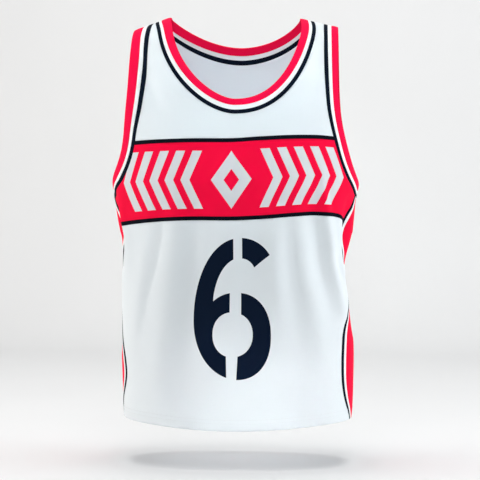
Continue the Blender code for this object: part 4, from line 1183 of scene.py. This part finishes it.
def side_panels():
    bounds = (0.0, SIDE_NAVY_W, SIDE_NAVY_W + SIDE_WHITE_W)
    for side, tag in ((-1.0, "_l"), (1.0, "_r")):
        front = arm_line(side, 1.0, "navy", -LAP)
        back = arm_line(side, -1.0, "navy", -LAP)[::-1]
        back = np.stack([2 * QUARTER - back[:, 0], back[:, 1]], axis=1)
        arm = np.vstack([front, back[1:]])

        def edge(sheet, inward, gap):
            sign = 1.0 if sheet > 0 else -1.0
            value = lambda p: sign * (p[:, 0] - QUARTER) + insert_line(side, sheet, inward, p[:, 1]) + gap
            near = arm[np.abs(arm[:, 0] - QUARTER) < 0.05]
            v = value(near)
            i = int(np.nonzero((v[1:] > 0) != (v[:-1] > 0))[0][0])
            u = v[i] / (v[i] - v[i + 1])
            start = near[i] + u * (near[i + 1] - near[i])
            end_t = float(hem_t(sheet, QUARTER))
            t = np.arange(start[1] + SIDE_STEP, end_t - 0.001, SIDE_STEP)
            t = np.append(t, end_t)
            away = insert_line(side, sheet, inward, t) + gap
            S = QUARTER - away if sheet > 0 else QUARTER + away
            return np.vstack([start, np.stack([S, t], axis=1)])

        one, two = edge(1.0, bounds[2], LAP), edge(-1.0, bounds[2], LAP)
        pick = (arm[:, 0] > one[0, 0] + 0.0004) & (arm[:, 0] < two[0, 0] - 0.0004)
        n = int((two[-1, 0] - one[-1, 0]) / SIDE_STEP)
        low = np.stack([np.linspace(one[-1, 0], two[-1, 0], n + 1)[1:-1], np.full(n - 1, one[-1, 1])], axis=1)
        outline = tidy(np.vstack([one, low, two[::-1], arm[pick][::-1]]))

        def relief(flat):
            up = float(hem_t(1.0, QUARTER)) - flat[:, 1]
            return hem_thickness(up)
        panel("side_panel" + tag, side_sheet(side), outline, [RED, WHITE_INNER_LIT], extra=relief)

        for sheet, word in ((1.0, "_front"), (-1.0, "_back")):
            for colour, lo, hi, mat, slot in (("navy", bounds[0], bounds[1], NAVY_STRIPE, "navy_stripe"),
                                              ("white", bounds[1], bounds[2], WHITE_STRIPE, "white_stripe")):
                a = edge(sheet, lo, 0.00015)
                b = edge(sheet, hi, -0.00015)
                n = 170
                a, b = resample(a, n), resample(b, n)

                def line_at(u, a=a, b=b, sheet=sheet):
                    p = a * (1 - u) + b * u
                    s = side * np.where(p[:, 0] <= QUARTER, p[:, 0], 2 * QUARTER - p[:, 0])
                    return np.where(p[:, 0] <= QUARTER, 1.0, -1.0), s, p[:, 1]
                swept("side_" + colour + word + tag, line_at, hi - lo, 0.0017, 0.0002, [mat], False)


# --------------------------------------------------------------- stitching
def stitch_rows(name, rows, colour, long=0.0024, pitch=0.0034, thick=0.00040):
    """Short raised threads along lines of the cloth, as one mesh."""
    verts, faces = [], []
    for sheet, s, t in rows:
        pos, out = drape_fine(sheet, s, t)
        length = running_length(pos)
        count = int(length[-1] / pitch)
        starts = np.arange(count) * pitch + 0.3 * pitch
        for a in starts:
            at = np.array([a, a + long * 0.5, a + long])
            p = np.stack([np.interp(at, length, pos[:, k]) for k in range(3)], axis=1)
            n = np.array([np.interp(at[1], length, out[:, k]) for k in range(3)])
            n /= np.linalg.norm(n)
            along = p[2] - p[0]
            along /= np.linalg.norm(along) + 1e-12
            side = np.cross(n, along)
            lift = CLOTH_T / 2 + 0.0003
            base = len(verts)
            for centre, r, up in ((p[0], 0.45, -0.6), (p[0] + along * long * 0.25, 1.0, 0.15),
                                  (p[1], 1.0, 0.35), (p[2] - along * long * 0.25, 1.0, 0.15), (p[2], 0.45, -0.6)):
                for k in range(6):
                    ang = k * math.pi / 3
                    verts.append(centre + n * (lift + up * thick) + (side * math.cos(ang) + n * math.sin(ang)) * r * thick / 2)
            for j in range(4):
                for k in range(6):
                    q = base + j * 6
                    faces.append((q + k, q + (k + 1) % 6, q + 6 + (k + 1) % 6, q + 6 + k))
            faces.append(tuple(base + k for k in range(5, -1, -1)))
            faces.append(tuple(base + 24 + k for k in range(6)))
    mesh = bpy.data.meshes.new(name)
    mesh.from_pydata([tuple(v) for v in verts], [], faces)
    mesh.shade_smooth()
    mesh.materials.append(colour)
    obj = bpy.data.objects.new(name, mesh)
    bpy.context.scene.collection.objects.link(obj)
    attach(obj, "root")
    return obj


def thread_material(name, base):
    mat = bpy.data.materials.new(name)
    mat.use_nodes = True
    nodes, links = mat.node_tree.nodes, mat.node_tree.links
    shader = nodes["Principled BSDF"]
    shader.inputs["Roughness"].default_value = 0.55
    shader.inputs["Sheen Weight"].default_value = 0.1
    where = add(nodes, "ShaderNodeTexCoord")
    twist = add(nodes, "ShaderNodeTexNoise")
    twist.inputs["Scale"].default_value = 1500.0
    links.new(where.outputs["Object"], twist.inputs["Vector"])
    ramp = add(nodes, "ShaderNodeMix", data_type="RGBA")
    ramp.inputs[6].default_value = (*base, 1.0)
    ramp.inputs[7].default_value = (*[0.7 * c for c in base], 1.0)
    links.new(twist.outputs["Fac"], ramp.inputs[0])
    links.new(ramp.outputs[2], shader.inputs["Base Color"])
    bump = add(nodes, "ShaderNodeBump")
    bump.inputs["Distance"].default_value = 0.0001
    links.new(twist.outputs["Fac"], bump.inputs["Height"])
    links.new(bump.outputs["Normal"], shader.inputs["Normal"])
    return mat


def stitching():
    white = thread_material("thread_white", (0.85, 0.87, 0.90))
    red = thread_material("thread_red", (0.80, 0.006, 0.05))
    rows = []
    for sheet in (1.0, -1.0):
        edge = side_edge(1.0, sheet, 0.0)[-1, 0]
        s = np.linspace(-edge + 0.002, edge - 0.002, 300)
        for up in (HEM_TURN - 0.0012, HEM_TURN - 0.0074):
            rows.append((np.full(len(s), sheet), s, hem_t(sheet, s) - up))
    # beside the stripes of the neck and the armholes
    for sheet in (1.0, -1.0):
        steps = NECK_FRONT_STEPS if sheet > 0 else NECK_BACK_STEPS
        s, t = neck_at(sheet, neck_width("navy", steps, sheet) + 0.0020)
        rows.append((np.full(len(s), sheet), s, np.maximum(t, 0.0)))
        for side in (-1.0, 1.0):
            line = arm_line(side, sheet, "navy", 0.0020)
            line = cut(line, lambda p: (QUARTER - p[:, 0]) - insert_line(side, sheet, 0.0, p[:, 1]) - 0.0015)
            if sheet > 0:
                line = cut(line, lambda p: level_t(side * p[:, 0], BAND_TOP_Z) - 0.001 - p[:, 1])
            rows.append((np.full(len(line), sheet), side * line[:, 0], np.maximum(line[:, 1], 0.0)))
    stitch_rows("stitches_white", rows, white)


# -------------------------------------------------------------------- build
front_panels()
back_panels()
rings()
side_panels()
stitching()

# ------------------------------------------------------ floor, light, camera
FLOOR_Z = -0.779


def stage():
    """A pale floor that turns up into a backdrop."""
    depth = [-6.0, -2.0, 0.0, 1.2, 2.0]
    radius, turn = 0.55, 2.2
    path = [(y, FLOOR_Z) for y in depth]
    for a in np.linspace(0.0, math.pi / 2, 16):
        path.append((turn + radius * math.sin(a), FLOOR_Z + radius * (1 - math.cos(a))))
    path += [(turn + radius, FLOOR_Z + h) for h in (1.0, 2.0, 4.5)]
    verts, faces = [], []
    for y, z in path:
        verts += [(-6.0, y, z), (6.0, y, z)]
    for i in range(len(path) - 1):
        faces.append((2 * i, 2 * i + 1, 2 * i + 3, 2 * i + 2))
    mesh = bpy.data.meshes.new("studio")
    mesh.from_pydata(verts, [], faces)
    mesh.shade_smooth()
    obj = bpy.data.objects.new("studio", mesh)
    bpy.context.scene.collection.objects.link(obj)
    mat = bpy.data.materials.new("studio_paper")
    mat.use_nodes = True
    nodes, links = mat.node_tree.nodes, mat.node_tree.links
    shader = nodes["Principled BSDF"]
    shader.inputs["Roughness"].default_value = 0.9
    shader.inputs["Specular IOR Level"].default_value = 0.1
    where = add(nodes, "ShaderNodeTexCoord")
    noise = add(nodes, "ShaderNodeTexNoise")
    noise.inputs["Scale"].default_value = 3.0
    links.new(where.outputs["Object"], noise.inputs["Vector"])
    mix = add(nodes, "ShaderNodeMix", data_type="RGBA")
    mix.inputs[6].default_value = (0.85, 0.85, 0.85, 1.0)
    mix.inputs[7].default_value = (0.87, 0.87, 0.87, 1.0)
    links.new(noise.outputs["Fac"], mix.inputs[0])
    links.new(mix.outputs[2], shader.inputs["Base Color"])
    mesh.materials.append(mat)


def aim(obj, at):
    obj.rotation_mode = "QUATERNION"
    obj.rotation_quaternion = (Vector(at) - obj.location).to_track_quat("-Z", "Y")


def softbox(name, place, at, size, power, colour, spread=180.0):
    data = bpy.data.lights.new(name, "AREA")
    data.shape = "RECTANGLE"
    data.size, data.size_y = size
    data.energy = power
    data.color = colour
    data.spread = math.radians(spread)
    obj = bpy.data.objects.new(name, data)
    bpy.context.scene.collection.objects.link(obj)
    obj.location = place
    aim(obj, at)
    return obj


stage()
def around(name, azimuth, height, away, size, power, colour):
    """A softbox at an angle round the jersey, seen from the front, and above it."""
    a, e = math.radians(azimuth), math.radians(height)
    at = Vector((0.0, 0.0, -0.38))
    place = at + Vector((math.sin(a) * math.cos(e), -math.cos(a) * math.cos(e), math.sin(e))) * away
    softbox(name, place, at, (size, size), power, colour)


around("side_left", -85, 3, 3.0, 1.2, 45.0, (1.0, 0.945, 0.885))
around("side_right", 88, 3, 3.0, 1.2, 50.0, (0.945, 0.98, 1.0))
around("front_high", 5, 55, 3.0, 1.2, 13.5, (0.96, 0.99, 1.0))
around("front_low", 5, 0, 3.2, 1.6, 7.5, (0.98, 1.0, 1.0))
softbox("top_wide", (-0.02, 0.0, 3.2), (-0.02, 0.0, -0.6), (3.0, 3.0), 62.0, (1.0, 1.0, 1.0))
softbox("top", (-0.02, 0.0, 3.2), (-0.02, 0.0, -0.6), (2.0, 1.4), 38.0, (1.0, 1.0, 1.0))
softbox("upper", (0.12, -2.20, 0.20), (0.02, 0.0, -0.135), (0.3, 0.3), 0.203, (0.84, 0.97, 1.0), 18.0)
softbox("lower", (0.14, -2.20, -0.45), (0.035, 0.0, -0.680), (0.16, 0.16), 0.070, (0.97, 1.0, 1.0), 10.0)

world = bpy.data.worlds.new("studio_air")
world.use_nodes = True
world.node_tree.nodes["Background"].inputs["Color"].default_value = (0.93, 0.97, 1.0, 1.0)
world.node_tree.nodes["Background"].inputs["Strength"].default_value = 0.165
bpy.context.scene.world = world
bpy.context.scene.view_settings.view_transform = "Standard"
bpy.context.scene.view_settings.look = "None"

AZIMUTH = math.radians(5.5)
AWAY = 2.3
camera_data = bpy.data.cameras.new("camera")
camera_data.sensor_width = 36.0
camera_data.lens = 36.0 * (AWAY / 0.00179) / 480.0
camera = bpy.data.objects.new("camera", camera_data)
bpy.context.scene.collection.objects.link(camera)
TARGET = Vector((0.0068, 0.0, -0.385))
camera.location = TARGET + Vector((math.sin(AZIMUTH), -math.cos(AZIMUTH), 0.0)) * AWAY
aim(camera, TARGET)
camera_data.clip_start, camera_data.clip_end = 0.05, 50.0
bpy.context.scene.camera = camera
